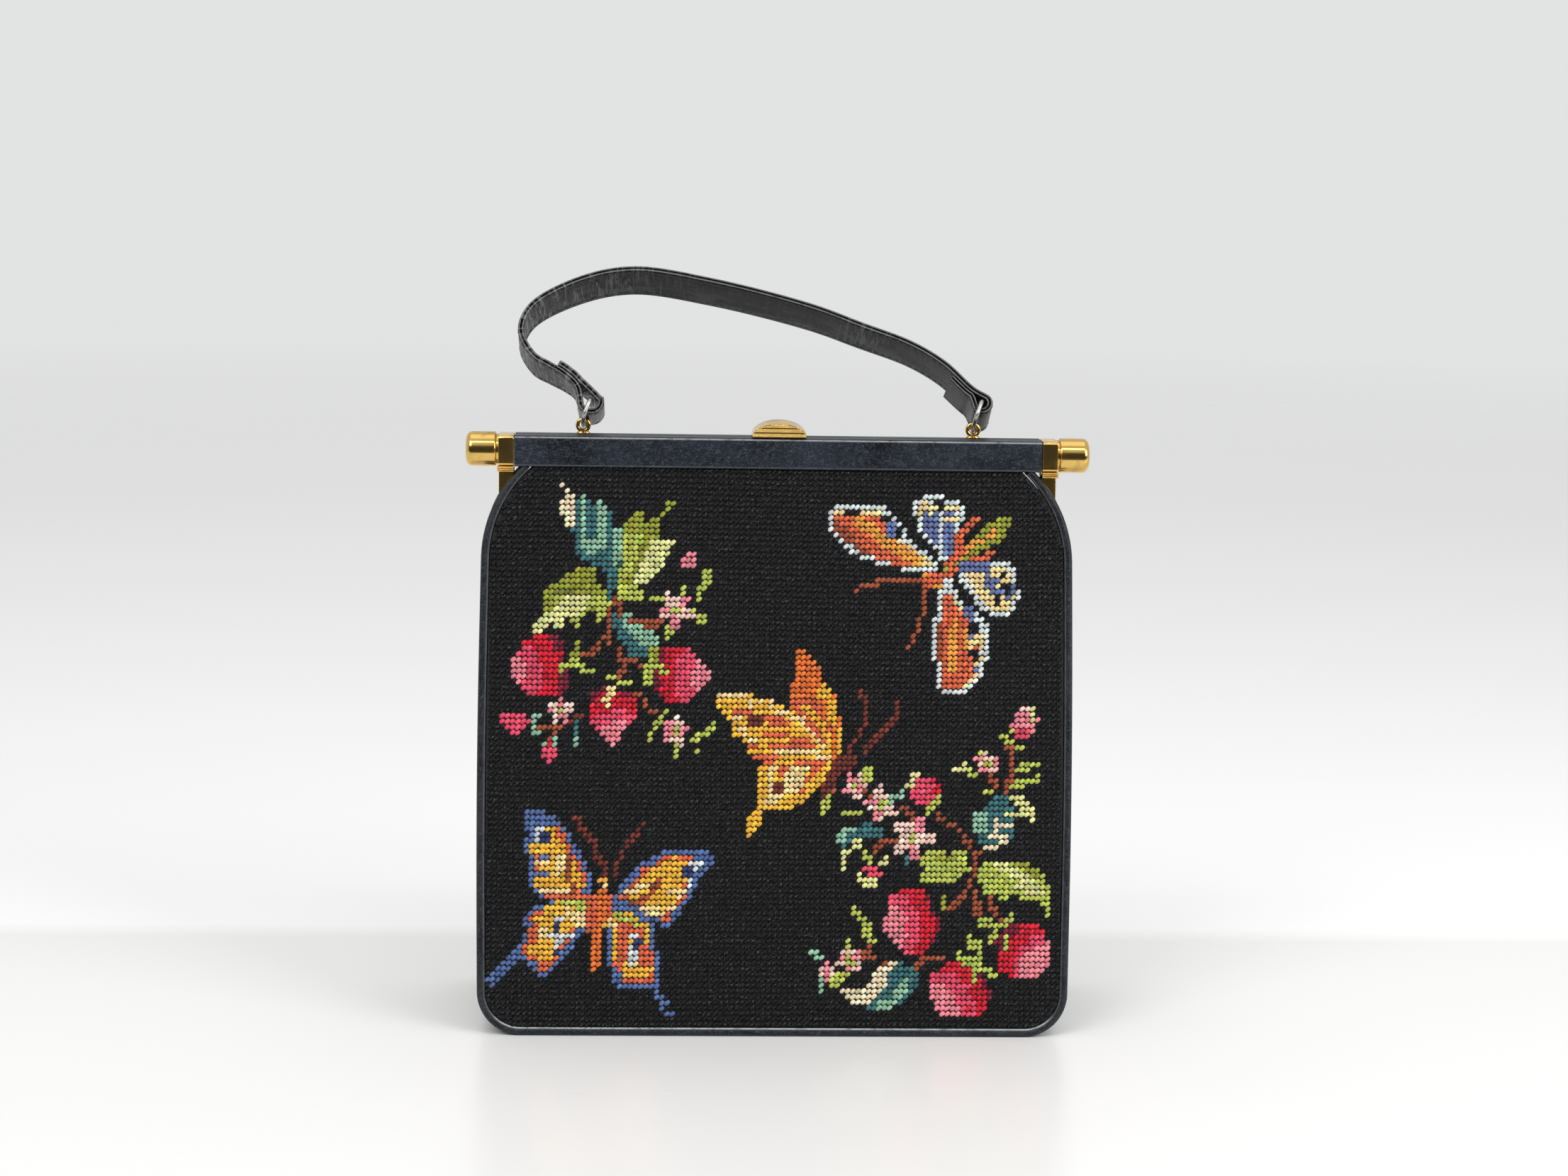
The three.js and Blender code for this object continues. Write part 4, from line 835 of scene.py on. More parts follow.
def chartLowerRightSpray():
    shaded((46.4, 53.4), (2.2, 5.2), ("rose", "pink", "shell"), [(47.2, 59.5), (49.4, 59.4),
        (50.1, 57), (48.8, 54.4), (47.4, 53.4), (45.6, 53.6), (44.8, 56), (45.8, 58)])
    stem("pale", [(49.3, 58.6), (49.3, 57)], reach=0.6)
    stem("lime", [(44.6, 54.6), (43.4, 53.6), (45.2, 53.3)], reach=0.6)
    dots("lime", (46.5, 52.4), (38.6, 51.4), (28.8, 40.5))
    stem("rust", [(44.5, 52.5), (44.7, 49), (45.5, 48), (44.7, 46.4), (43.6, 43.4)], [(40.8, 46.5),
        (42.4, 45.3)], [(25.5, 40), (25.6, 39)])
    stem("lime", [(46.4, 48.4), (48, 48.6), (49.6, 49.4)], [(16.6, 33.3), (17.2, 32.3), (18.2, 32.2),
        (17.8, 31.3)], reach=0.6)
    stem("lime", [(45.6, 45.2), (47.4, 45.6), (49.7, 46.4)], reach=0.7)
    blossom(40.4, 49.2, 2.0, 0.4)
    stem("pale", [(34.4, 48.3), (36, 48.5)])
    stem("lime", [(36.4, 47.5), (38, 47.4)], [(39.7, 44.3), (41.6, 44.5)], [(12.8, 40.4),
        (16.6, 40.4)])
    patch("teal", [(41.4, 43.4), (44.4, 43.4), (45.4, 40), (45.4, 36), (40.4, 33), (38.2, 35),
        (38.2, 38), (40.6, 42)], [(12.4, 37.6), (18.6, 38.2), (21.2, 36.6), (20.8, 35.6), (15.4, 35.8),
        (13.4, 33.6), (12, 34.6)], [(17.6, 9.6), (21.6, 13.4), (24.2, 13.2), (27.2, 12), (27.5, 8.6),
        (24, 5.4), (20.6, 4.5), (16.4, 5.2)])
    patch("mint", [(37.1, 37.4), (37.2, 40.2), (38, 40.9), (40.4, 40.4), (40.2, 36.6), (38.4, 36.4)],
        [(11.7, 36.4), (13.4, 37.7), (16.2, 37.8), (13.8, 36), (13.4, 34.6), (11.8, 34.4)],
        [(23.8, 9.8), (25.4, 10.2), (25.4, 7.6), (22.6, 5), (19, 4.8), (19.6, 6), (22.4, 7)])
    patch("pale", [(44.4, 43.2), (47.2, 43.2), (49.4, 40.8), (49.4, 38.6), (48.2, 38.8), (47.4, 40),
        (43.6, 39.4), (44.2, 40.6), (46.6, 41), (46, 42)], [(16.5, 35.6), (16, 33.6), (14, 32.4),
        (13.4, 29.6), (12.3, 29.6), (12, 33.4), (13.8, 33.6), (14.8, 35.4)])
    for low, high, height in ((41.6, 45.2, 37.6), (40.6, 42.2, 36.3), (42.6, 44.6, 35.4),
            (39.8, 42, 34.2), (41.4, 42.6, 38.4)):
        stem("cream", [(low, height), (high, height + 0.2)])
    shaded((25.4, 43.6), (3.6, 4.6), ("rose", "rose", "red"), ellipse(28.2, 44.2, 3.1, 2.6))
    stem("pale", [(26.7, 47.3), (26.1, 46.2), (25.5, 45.4)], reach=0.7)
    stem("lime", [(31.2, 42.4), (30, 41.6)], [(17.5, 47.6), (17.4, 45.6)], reach=0.65)
    blossom(15.2, 44.9, 2.3, 2.3)
    blossom(20.4, 41.6, 3.0, 0.6)
    blossom(26, 35.6, 3.6, 1.2)
    stem("mint", [(22, 42.5), (23.8, 43.3)], reach=0.8)
    stem("lime", [(10.2, 42.8), (9, 40.6)], reach=0.75)
    dots("rust", (11.2, 43.8), (17.2, 44), (18.2, 43.2), (24.6, 41.2))
    stem("rust", [(23, 35.4), (20.6, 35.3), (18.6, 33.1)], [(31, 39.5), (34.8, 37.2), (36.2, 35.6),
        (37.3, 33.6), (38.6, 32.8), (37.9, 30), (37.3, 28), (35.4, 24.8), (33.6, 23.3), (32.6, 22.4)],
        [(38.4, 26.6), (38.5, 21.8)], [(41.3, 25), (41.6, 22.6), (42.8, 21)], [(17.8, 15.5),
        (16.8, 14.4), (19, 14.4)], [(20.4, 13.4), (21.4, 13.4)], [(27, 12.5), (28, 13.5),
        (31.6, 13.8)])
    stem("pale", [(21, 32.3), (20.6, 31.2)], reach=0.65)
    dots("teal", (25, 31.7), (25.2, 32.3))
    patch("rose", [(16.3, 30.8), (19, 31), (19.4, 29.6), (20.9, 29.6), (20.4, 28.2), (19, 27.8),
        (17.6, 29.2)])
    dots("pale", (16.1, 28.3), (17.3, 27.4), (18.5, 27.5))
    patch("lime", [(26.3, 31.2), (29.4, 34), (31.6, 33.8), (33, 32.7), (34.3, 34), (36.8, 32.6),
        (36.9, 31), (38, 30.4), (35, 28.4), (32.4, 27.2), (30.6, 27.4), (26.7, 28.2), (29.4, 30.4)],
        [(38.8, 29.8), (39.6, 31), (43.4, 31.8), (47.6, 31.8), (50.4, 30), (52.8, 26.4), (53, 21.8),
        (52, 21.8), (50.4, 25), (47, 24), (45.6, 25.6), (43, 24), (42.2, 25.6), (39.2, 25.4)])
    patch("olive", [(30, 33), (34, 33), (35.4, 31.4), (31.4, 31)], [(44, 32), (47.6, 32), (50.6, 29.8),
        (51, 28.4), (48.6, 29), (46, 31)], [(31.1, 25), (33, 25.8), (33, 23.4), (32, 22.2),
        (31, 22.4)])
    stem("pale", [(42.4, 30.8), (45, 29.8), (48.4, 28.2), (50.4, 26.4)], reach=0.8)
    stem("pale", [(46, 27), (49.4, 26)], reach=0.6)
    shaded((20.4, 19), (5, 7.4, 10), berry, [(24, 26.2), (27.8, 27.2), (29.8, 25), (30, 22.8),
        (31.3, 20.6), (31, 18.6), (28.9, 15), (24.4, 14.8), (21, 18.4), (20, 19.4), (21.6, 22.4),
        (21.4, 24.8)])
    shaded((52, 12), (5.2, 6.6, 9.4), berry, [(44, 20.6), (48.8, 20.9), (51.4, 19), (52.6, 16),
        (52.4, 12.4), (50.2, 10.2), (45, 10.2), (42.2, 12.6), (42, 17)])
    shaded((30.6, 5), (4.6, 7, 10.2), berry, [(32.6, 13.4), (35.2, 14.2), (38, 12.4), (40.8, 10),
        (41.2, 7), (39.4, 3.4), (31.4, 3.2), (29.6, 7), (29.5, 10.6)])
    stem("lime", [(35.4, 14.5), (36.4, 13.5), (38.8, 13.4), (39.3, 15), (38.6, 16.6), (37, 16.6),
        (36.8, 17.5)], reach=0.7)
    stem("lime", [(38.2, 12.2), (41.2, 11.8), (41.6, 10.8)], [(38.3, 11.2), (38.2, 10.2)], [(15, 22.6),
        (16, 21.4)], [(13.6, 16.6), (13.7, 15.6)], reach=0.6)
    stem("lime", [(39.5, 20.5), (44, 20), (44.8, 21.4)], [(42, 18.8), (41, 17.2)], reach=0.75)
    stem("lime", [(44.2, 17.6), (44.3, 16.4)], reach=0.65)
    stem("lime", [(17, 20.4), (17.2, 18.6), (18.2, 17)], reach=0.95)
    blossom(14.4, 13.4, 2.3, 0.8)
    stem("lime", [(13.6, 11), (11.6, 9.6)], reach=0.95)
    blossom(9.8, 11.4, 1.5, 1.3)
    dots("pink", (9.8, 11.4))
    stem("mint", [(6.8, 14.8), (8, 14.6), (8.6, 13.6)], reach=0.65)
    stem("mint", [(9, 9.8), (9, 7.8)], reach=0.6)
    patch("cream", [(12.2, 8), (17.2, 8.4), (19, 11.2), (21.6, 13.4), (23.8, 12.8), (22, 11.4),
        (20.2, 10.4), (22.8, 9.8), (20.4, 7.6), (17.6, 5.2), (14, 6.3)])


chartUpperLeftSpray()
chartUpperRightButterfly()
chartMiddleButterfly()
chartLowerLeftButterfly()
chartLowerRightSpray()
print("chart drawn:", int((tones > 0).sum()), "coloured stitches")


# Stitches: each is a grain that rises from the canvas, tapers to both ends and leans to the right.
grain = {
    "length": 2.95, "width": 1.72, "thick": 1.3, "slant": 37, "sink": 0.1, "ringAt": 0.31,
    "tipDrop": 0.35, "strayAcross": 0.06, "strayUp": 0.05, "straySlant": 4, "straySize": 0.06,
    "strayLight": 0.13, "strayTone": 0.035, "edge": 4.0, "top": 232.3,
}


# the threads of the canvas wave slowly both ways, by products of two sines, and each stitch strays a
# little in place, slant and size; it follows the slope of the belly
def stitchShape(half, chosen, sides):
    g = grain
    count = int(chosen.sum())
    x = across[chosen] * chart["pitchAcross"]
    height = up[chosen] * chart["pitchUp"]
    x = x + chart["waver"] * np.sin(height / 47 + 1.3) * np.sin(x / 61)
    x = x + luck.normal(0, g["strayAcross"], count)
    height = height + chart["waver"] * np.sin(x / 39 + 0.4) * np.sin(height / 53 + 0.7)
    height = height + luck.normal(0, g["strayUp"], count)
    slant = np.radians(g["slant"] + luck.normal(0, g["straySlant"], count))
    size = 1 + luck.normal(0, g["straySize"], (3, count))
    face = -bag["panelThick"] / 2 + panel["canvasSink"] - g["sink"] - belly(x, height)
    slopeX = (belly(x + 1, height) - belly(x - 1, height)) / 2
    slopeUp = (belly(x, height + 1) - belly(x, height - 1)) / 2
    turn = np.arange(sides) / sides * 2 * math.pi
    along = np.concatenate([[-0.5], np.repeat([-g["ringAt"], g["ringAt"]], sides), [0.5]]) * g["length"]
    wide = np.concatenate([[0], np.tile(np.cos(turn), 2), [0]]) * g["width"] / 2
    tall = np.concatenate([[-g["tipDrop"]], np.tile(np.sin(turn), 2), [-g["tipDrop"]]]) * g["thick"] / 2
    along, wide, tall = (line * share[:, None] for line, share in zip((along, wide, tall), size))
    x, height, face, slant, slopeX, slopeUp = (
        values[:, None] for values in (x, height, face, slant, slopeX, slopeUp))
    right = along * np.cos(slant) - wide * np.sin(slant)
    rise = along * np.sin(slant) + wide * np.cos(slant)
    out = face - tall - slopeX * right - slopeUp * rise
    points = np.stack([x + right, out, height + rise], -1)
    first = np.arange(sides)
    after = (first + 1) % sides
    last = np.full(sides, 2 * sides + 1)
    tips = np.concatenate([np.stack([first * 0, first + 1, after + 1], 1),
                           np.stack([last, after + 1 + sides, first + 1 + sides], 1)])
    belt = np.stack([first + 1, first + 1 + sides, after + 1 + sides, after + 1], 1)
    starts = (np.arange(count) * points.shape[1])[:, None, None]
    faces = [(tips[None] + starts).reshape(-1, 3), (belt[None] + starts).reshape(-1, 4)]
    return outward(leaned(points.reshape(-1, 3), half), faces), points.shape[1]


# each stitch's wool, a little lighter or darker and warmer or cooler than its neighbour's
def stitchColours(chosen, corners):
    shades = (np.array([wools[name] for name in woolNames]) / 255) ** 2.2
    tint = shades[tones[chosen]]
    tint = tint * np.exp(luck.normal(0, grain["strayLight"], (len(tint), 1)))
    tint = tint * np.exp(luck.normal(0, grain["strayTone"], (len(tint), 3)))
    tint = np.repeat(np.clip(tint, 0, 1), corners, 0)
    return np.concatenate([tint, np.ones((len(tint), 1))], 1)


chartEdge = panelEdge(0, panelRise, 400) / (chart["pitchAcross"], chart["pitchUp"])
edgeGap = distanceTo(chartEdge) * chart["pitchAcross"]
held = within(chartEdge) & (edgeGap > grain["edge"]) & (up * chart["pitchUp"] < grain["top"])
for name, half, chosen, sides in (("stitches_ground", "front", held & (tones == 0), 6),
                                  ("stitches_motifs", "front", held & (tones > 0), 8),
                                  ("stitches_back", "back", held, 4)):
    if half == "back":
        tones[:] = 0
    shape, corners = stitchShape(half, chosen, sides)
    makePiece(name, shape, wool, [f"needlepoint_{half}"], crease=0,
              colour={"yarn": stitchColours(chosen, corners)})
print("stitches ready:", int(held.sum()), "a side")


# Piping, gusset and bars

piping = {
    "along": 520, "around": 30, "groove": 236, "grooveWidth": 0.2, "depth": 0.16,
    "highlightAndWear": 212, "highlightAndWearWidth": 0.22, "highlightAndWearLeast": 0.16, "highlightAndWearBelow": 8, "highlightAndWearFade": 4,
}


# a round roll carried along the panel's edge, with a seam pressed into its inner front; the lip inside
# the seam is painted paler, as highlight and as wear, most of all along the foot
def pipingShape(half):
    top = (bag["barBottom"] - bag["gap"]) / math.cos(lean)
    path = panelEdge(bag["pipingRadius"], top, piping["along"])
    along = headings(path)
    outer = np.stack([along[:, 1], -along[:, 0]], 1)
    turn = np.arange(piping["around"]) / piping["around"] * 2 * math.pi
    seam = piping["depth"] * bump(turn, math.radians(piping["groove"]), piping["grooveWidth"])
    radius = bag["pipingRadius"] * (1 - seam)
    reach = radius * np.cos(turn)
    x = path[:, :1] + outer[:, :1] * reach
    height = path[:, 1:] + outer[:, 1:] * reach
    y = np.broadcast_to(radius * np.sin(turn), x.shape)
    # painted highlight and wear on the inner lip, fullest along the foot
    foot = np.clip((piping["highlightAndWearBelow"] - path[:, 1:]) / piping["highlightAndWearFade"], 0, 1)
    paintedHighlightAndWear = bump(turn, math.radians(piping["highlightAndWear"]), piping["highlightAndWearWidth"])
    paintedHighlightAndWear = paintedHighlightAndWear * (piping["highlightAndWearLeast"] + (1 - piping["highlightAndWearLeast"]) * foot)
    return loft(leaned(np.stack([x, y, height], -1), half)), paintedHighlightAndWear.ravel()


for half in ("front", "back"):
    shape, paintedHighlightAndWear = pipingShape(half)
    makePiece(f"piping_roll_{half}", shape, welt, [f"piping_{half}"], colour={"paintedHighlightAndWear": paintedHighlightAndWear})

gusset = {"along": 420, "across": 40}


# the gusset wall: straight across at the foot, and tucked inwards further up by the fold's depth times
# one minus the share across to the power of its roundness
def gussetShape():
    edge = panelEdge(0, panelRise - bag["gussetDrop"], gusset["along"])
    along = headings(edge)
    inward = np.stack([-along[:, 1], along[:, 0]], 1)
    height = edge[:, 1]
    half = baseY - height * math.sin(lean) - (bag["pipingRadius"] + bag["gap"]) / math.cos(lean)
    rise = np.clip((height - bag["foldStart"]) / (bag["foldFull"] - bag["foldStart"]), 0, 1)
    fold = (bag["gussetFold"] * rise * rise * (3 - 2 * rise))[:, None]
    share = np.linspace(-1, 1, gusset["across"])[None]
    power = bag["foldRoundness"]
    slope = fold * power * np.abs(share) ** (power - 1) / half[:, None]
    walls = []
    for depth in (0, bag["gussetThick"]):
        tuck = fold * (1 - np.abs(share) ** power) + depth * np.hypot(1, slope)
        walls.append(np.stack([edge[:, :1] + inward[:, :1] * tuck, share * half[:, None],
                               height[:, None] * math.cos(lean) + inward[:, 1:] * tuck], -1))
    return loft(np.concatenate([walls[0], walls[1][:, ::-1]], 1))


makePiece("gusset_leather", gussetShape(), skin, ["gusset"])

bar = {"along": 60, "rim": 0.25, "arcSteps": 11, "splitEdge": 0.4, "innerEdge": 0.3, "slotEdge": 0.2,
       "highlightTurn": 0.62, "highlightAndWearWidth": 0.2, "highlightAbove": 0.6, "highlightAndWearBelow": 0.2}


# section of a bar as (y, z), with the panel's groove underneath
def barSection(groove=True):
    bottom, inner, front = bag["barBottom"], -bag["barSplit"] / 2, -bag["barFront"]
    corners = [(inner, bag["barTop"]), (front, bag["barTop"]), (front, bottom)]
    radii = [bar["splitEdge"], bag["barEdge"], bag["barEdge"]]
    if groove:
        slot0, slot1 = -seatY - bag["groove"] / 2, -seatY + bag["groove"] / 2
        roof = bottom + bag["groove"]
        corners += [(slot0, bottom), (slot0, roof), (slot1, roof), (slot1, bottom)]
        radii += [0] + 3 * [bar["slotEdge"]]
    corners.append((inner, bottom))
    radii.append(bar["innerEdge"])
    return rounded(corners, radii, bar["arcSteps"])


# painted highlight on a bar: a narrow band on the turn of its upper front edge, and a fainter one below
def edgeHighlight(points):
    edge, paintedHighlightAndWear = bag["barEdge"], 0
    above, below = bag["barTop"] - edge, bag["barBottom"] + edge
    for level, way, strength in ((above, 1, bar["highlightAbove"]), (below, -1, bar["highlightAndWearBelow"])):
        back, rise = points[:, 1] + bag["barFront"] - edge, way * (points[:, 2] - level)
        turn = np.arctan2(rise, -back)
        near = np.abs(np.hypot(back, rise) - edge) < 0.15
        paintedHighlightAndWear = paintedHighlightAndWear + strength * near * bump(turn, bar["highlightTurn"], bar["highlightAndWearWidth"])
    return paintedHighlightAndWear


barReach = bag["plateInner"] - bag["gap"]
for half, side in (("front", 1), ("back", -1)):
    stations = np.linspace(-barReach, barReach, bar["along"])[1:-1]
    shape = prism(barSection(), -barReach, barReach, "x", bar["rim"], extra=stations)
    makePiece(f"bar_leather_{half}", scaled(shape, y=side), calf, [f"bar_{half}"],
              colour={"paintedHighlightAndWear": edgeHighlight(shape[0])})
print("piping, gusset and bars ready")


# Brass ends

brassEnd = {
    "mouldingHeight": 2.2, "mouldingProud": 0.45, "beads": 3, "arm": 2.7, "lug": 4.5, "barrel": 7.1,
    "barrelLength": 13.3, "dome": 2.6, "collar": 6.3, "collarLength": 1.1, "collarEdge": 0.3,
    "shoulder": 0.5, "rim": 0.3, "boxEdge": 0.3, "rivet": 1.5, "head": 2.6, "headThick": 0.9,
}
capMiddle = (bag["barTop"] + bag["barBottom"]) / 2


# front half of the round cap: circles cut off at the split, along a profile with a collar, a soft
# shoulder and a domed rim
def halfCap():
    e = brassEnd
    start, end = bag["plateOuter"], bag["plateOuter"] + e["barrelLength"]
    step, collar, barrel = start + e["collarLength"], e["collar"], e["barrel"]
    profile = np.concatenate([
        [(start - 0.2, collar)],
        quarter(step - e["collarEdge"], collar, step, collar - 0.2, True, 4),
        quarter(step + 0.05, barrel - e["shoulder"], step + 0.05 + e["shoulder"], barrel, True),
        [(end - e["dome"] - 2, barrel)],
        quarter(end - e["dome"], barrel, end, barrel - e["dome"], False, 12),
        [(end + 0.05, barrel * 0.3)],
    ])
    cut = bag["barSplit"] / 2
    first = np.arccos(cut / profile[:, 1])
    turn = math.pi - first[:, None] + (2 * first[:, None]) * np.linspace(0, 1, 49)[None]
    y, z = profile[:, 1:] * np.cos(turn), capMiddle + profile[:, 1:] * np.sin(turn)
    x = np.broadcast_to(profile[:, :1], y.shape)
    return loft(np.stack([x, y, z], -1))


# the right-hand fitting of the front bar
def fittingShape(outerLug):
    e = brassEnd
    inner, front = -bag["barSplit"] / 2, -bag["barFront"]
    x0, x1 = bag["plateInner"], bag["plateOuter"]
    middle = (x0 + x1) / 2
    plate = prism(barSection(False), x0, x1, "x", e["rim"])
    foot = bag["barBottom"] - e["mouldingHeight"]
    levels = np.linspace(foot, bag["barBottom"] + 0.4, 40)
    share = np.clip((levels - foot) / e["mouldingHeight"], 0, 1)
    proud = e["mouldingProud"] * np.abs(np.sin(share * math.pi * e["beads"])) ** 0.6
    block = rounded([(inner, x0), (inner, x1), (front, x1), (front, x0)], [0.2, 0.8, 0.8, 0.2], 5)
    rows = np.stack([np.stack([np.where(block[:, 1] > middle, block[:, 1] + p, block[:, 1]),
                               np.where(block[:, 0] < front / 2, block[:, 0] - p, block[:, 0]),
                               np.full(len(block), z)], 1) for z, p in zip(levels, proud)])
    lugTop = bag["hingeHeight"] + e["lug"] + bag["gap"]
    armBox = box(x0, inner - e["arm"], x1, inner, 0.4, 4)
    arm = prism(armBox, lugTop, bag["barBottom"] - 0.2, "z", e["rim"])
    lug0, lug1 = (middle + bag["gap"] / 2, x1) if outerLug else (x0, middle - bag["gap"] / 2)
    neck = prism(box(lug0, inner - e["arm"], lug1, inner, e["boxEdge"], 4),
                 bag["hingeHeight"] + 2, lugTop + 1, "z", 0.1)
    rim, radius = e["rim"], e["lug"]
    disc = np.concatenate([quarter(lug0, radius - rim, lug0 + rim, radius, True, 4),
                           quarter(lug1 - rim, radius, lug1, radius - rim, False, 4)])
    return joined(plate, loft(rows), arm, neck, turnedX(disc, 40, 0, bag["hingeHeight"]), halfCap())


for half, y in (("front", 1), ("back", -1)):
    fitting = fittingShape(half == "front")
    for side, x in (("left", -1), ("right", 1)):
        name = f"brass_end_{half}_{side}"
        makePiece(f"gilt_{name[6:]}", scaled(fitting, x, y), gilt, [name], crease=40)


# a pin through both lugs with a low domed head at each side
def rivetShape():
    e = brassEnd
    left, right = bag["plateInner"] - bag["gap"], bag["plateOuter"] + bag["gap"]
    outer = quarter(right, e["head"], right + e["headThick"], 0.3, False, 8)
    inner = outer[::-1] * (-1, 1) + (left + right, 0)
    profile = np.concatenate([inner, [(left, e["rivet"]), (right, e["rivet"])], outer])
    return turnedX(profile, 32, 0, bag["hingeHeight"])


for side, x in (("left", -1), ("right", 1)):
    makePiece(f"rivet_{side}", scaled(rivetShape(), x), gilt, [f"hinge_rivet_{side}"])
print("brass ends ready")


# Handle

handle = {
    "eyeletSpan": 160.7, "ring": 2.35, "wire": 0.85, "footWidth": 5.6, "footDepth": 3.2,
    "footHeight": 0.9, "linkWire": 0.9, "linkReach": 9.6, "linkHalf": 11.2, "linkTilt": 20,
    "squareness": 4, "width": 19, "thick": 2.4, "bend": 26.15, "rise": 57.5, "back": 30,
    "along": 401, "across": 21, "edge": 0.5, "seamInset": 1.9, "seamDepth": 0.2, "seamWidth": 0.35,
    "split": 0.4, "seamStep": 3.1, "seamStart": 8, "threadSink": 0.12, "creaseLeast": 0.1,
    "creaseLeft": -62, "creaseRight": 36, "creaseMore": 0.45, "creaseFade": 9, "lipAt": 0.62,
    "lipWidth": 0.12, "lipHighlight": 0.75, "threadHalf": 0.3, "threadRise": 0.24,
}
eyeletY = bag["barSplit"] / 2 + (bag["barFront"] - bag["barSplit"] / 2) / 2
eyeletHeight = bag["barTop"] + bag["gap"] + handle["ring"] + handle["wire"]
strapEnds = {
    "left": {"side": -1, "out": math.radians(112), "lean": math.radians(21), "loop": 4.3, "slide": -0.2,
             "drop": 1.2, "tail": 18.5, "close": 9.5},
    "right": {"side": 1, "out": math.radians(135), "lean": math.radians(32), "loop": 3.6, "slide": 0.5,
              "drop": 1, "tail": 17, "close": 6.5},
}
# the strap's middle: shares of half the eyelets' span, of the bend past its eyelet, of the rise and of
# the set-back, and the turn of its width in degrees
strapRoute = np.array([
    (-1, -0.1, 0.222, 0.155, 23), (-1, -0.302, 0.3, 0.21, 27), (-1, -0.512, 0.35, 0.27, 29),
    (-1, -0.79, 0.417, 0.372, 30), (-1, -1, 0.581, 0.568, 31),
    (-1, -0.845, 0.743, 0.75, 33.5), (-1, -0.088, 0.925, 0.94, 36), (-0.754, 0, 1, 1.018, 36.5),
    (-0.358, 0, 0.93, 0.935, 36), (0.166, 0, 0.762, 0.752, 35), (0.424, 0, 0.64, 0.64, 34),
    (0.681, 0, 0.515, 0.53, 33.5), (0.848, 0, 0.385, 0.41, 33), (0.995, 0, 0.209, 0.25, 32),
])


# (across, along the strap's width, up) at one end of the handle, in the bag's frame
def endPoint(end, across, width, up):
    x = end["side"] * handle["eyeletSpan"] / 2 + across
    y = eyeletY + width * math.cos(end["lean"]) + up * math.sin(end["lean"])
    z = eyeletHeight + up * math.cos(end["lean"]) - width * math.sin(end["lean"])
    return np.stack(np.broadcast_arrays(x, y, z), -1)


# a round wire along a closed line of points: circles in the plane of the line's side and a fixed up
def wireLoop(path, radius, sides, up):
    along = unit(np.roll(path, -1, 0) - np.roll(path, 1, 0))
    side = unit(np.cross(along, up))
    other = np.cross(side, along)
    turn = np.arange(sides)[None, :, None] / sides * 2 * math.pi
    rows = path[:, None] + radius * (np.cos(turn) * side[:, None] + np.sin(turn) * other[:, None])
    return loft(rows, True)


# a wire ring on a foot: an oval that narrows upwards by shares of its height and size
def eyeletShape(end):
    h = handle
    turn = np.arange(48) / 48 * 2 * math.pi
    circle = np.stack([np.cos(turn), turn * 0, np.sin(turn)], 1)
    ring = wireLoop(h["ring"] * circle, h["wire"], 16, (0, 1, 0))
    profile = np.array([(0, 1), (0.25, 1), (0.45, 0.86), (0.75, 0.6), (1, 0.5)])
    rise, share = profile[:, 0, None, None], profile[:, 1, None, None]
    oval = circle[:, [0, 2, 1]] * (h["footWidth"] / 2, h["footDepth"] / 2, 0)
    foot = loft(oval * share + rise * (0, 0, h["footHeight"]) - (0, 0, h["ring"] + h["wire"]))
    return moved(joined(ring, foot), endPoint(end, 0, 0, 0))


# the link: a squared ring, half wide and reach high, that leans to the right and back
def linkShape(end):
    h = handle
    turn = np.arange(180) / 180 * 2 * math.pi
    power = 2 / h["squareness"]
    wide, long = (np.sign(wave) * np.abs(wave) ** power for wave in (np.cos(turn), np.sin(turn)))
    width, reach = h["linkHalf"] * wide, h["linkReach"] * (1 + long) / 2
    tilt = math.radians(h["linkTilt"])
    path = endPoint(end, reach * math.sin(tilt), width, reach * math.cos(tilt))
    path = evenly(np.concatenate([path, path[:1]]), 141)[:-1]
    return wireLoop(path, h["linkWire"], 14, unit(np.cross(path[35] - path[0], path[70] - path[0])))


for side, end in strapEnds.items():
    makePiece(f"eyelet_ring_{side}", eyeletShape(end), gilt, [f"eyelet_{side}"], crease=60)
    makePiece(f"wire_link_{side}", linkShape(end), steel, [f"link_{side}"], crease=60)


# a smooth line through chosen points, with each stretch timed by the square root of its length
def throughPoints(points, steps=24):
    padded = np.concatenate([[2 * points[0] - points[1]], points, [2 * points[-1] - points[-2]]])
    gaps = np.linalg.norm(np.diff(padded[:, :3], axis=0), axis=1)
    knots = np.concatenate([[0], np.cumsum(gaps ** 0.5)])
    out = []
    for i in range(1, len(padded) - 2):
        p0, p1, p2, p3 = padded[i - 1:i + 3]
        t0, t1, t2, t3 = knots[i - 1:i + 3]
        t = np.linspace(t1, t2, steps, endpoint=i == len(padded) - 3)[:, None]
        a1 = (t1 - t) / (t1 - t0) * p0 + (t - t0) / (t1 - t0) * p1
        a2 = (t2 - t) / (t2 - t1) * p1 + (t - t1) / (t2 - t1) * p2
        a3 = (t3 - t) / (t3 - t2) * p2 + (t - t2) / (t3 - t2) * p3
        b1 = (t2 - t) / (t2 - t0) * a1 + (t - t0) / (t2 - t0) * a2
        b2 = (t3 - t) / (t3 - t1) * a2 + (t - t1) / (t3 - t1) * a3
        out.append((t2 - t) / (t2 - t1) * b1 + (t - t1) / (t2 - t1) * b2)
    return np.concatenate(out)


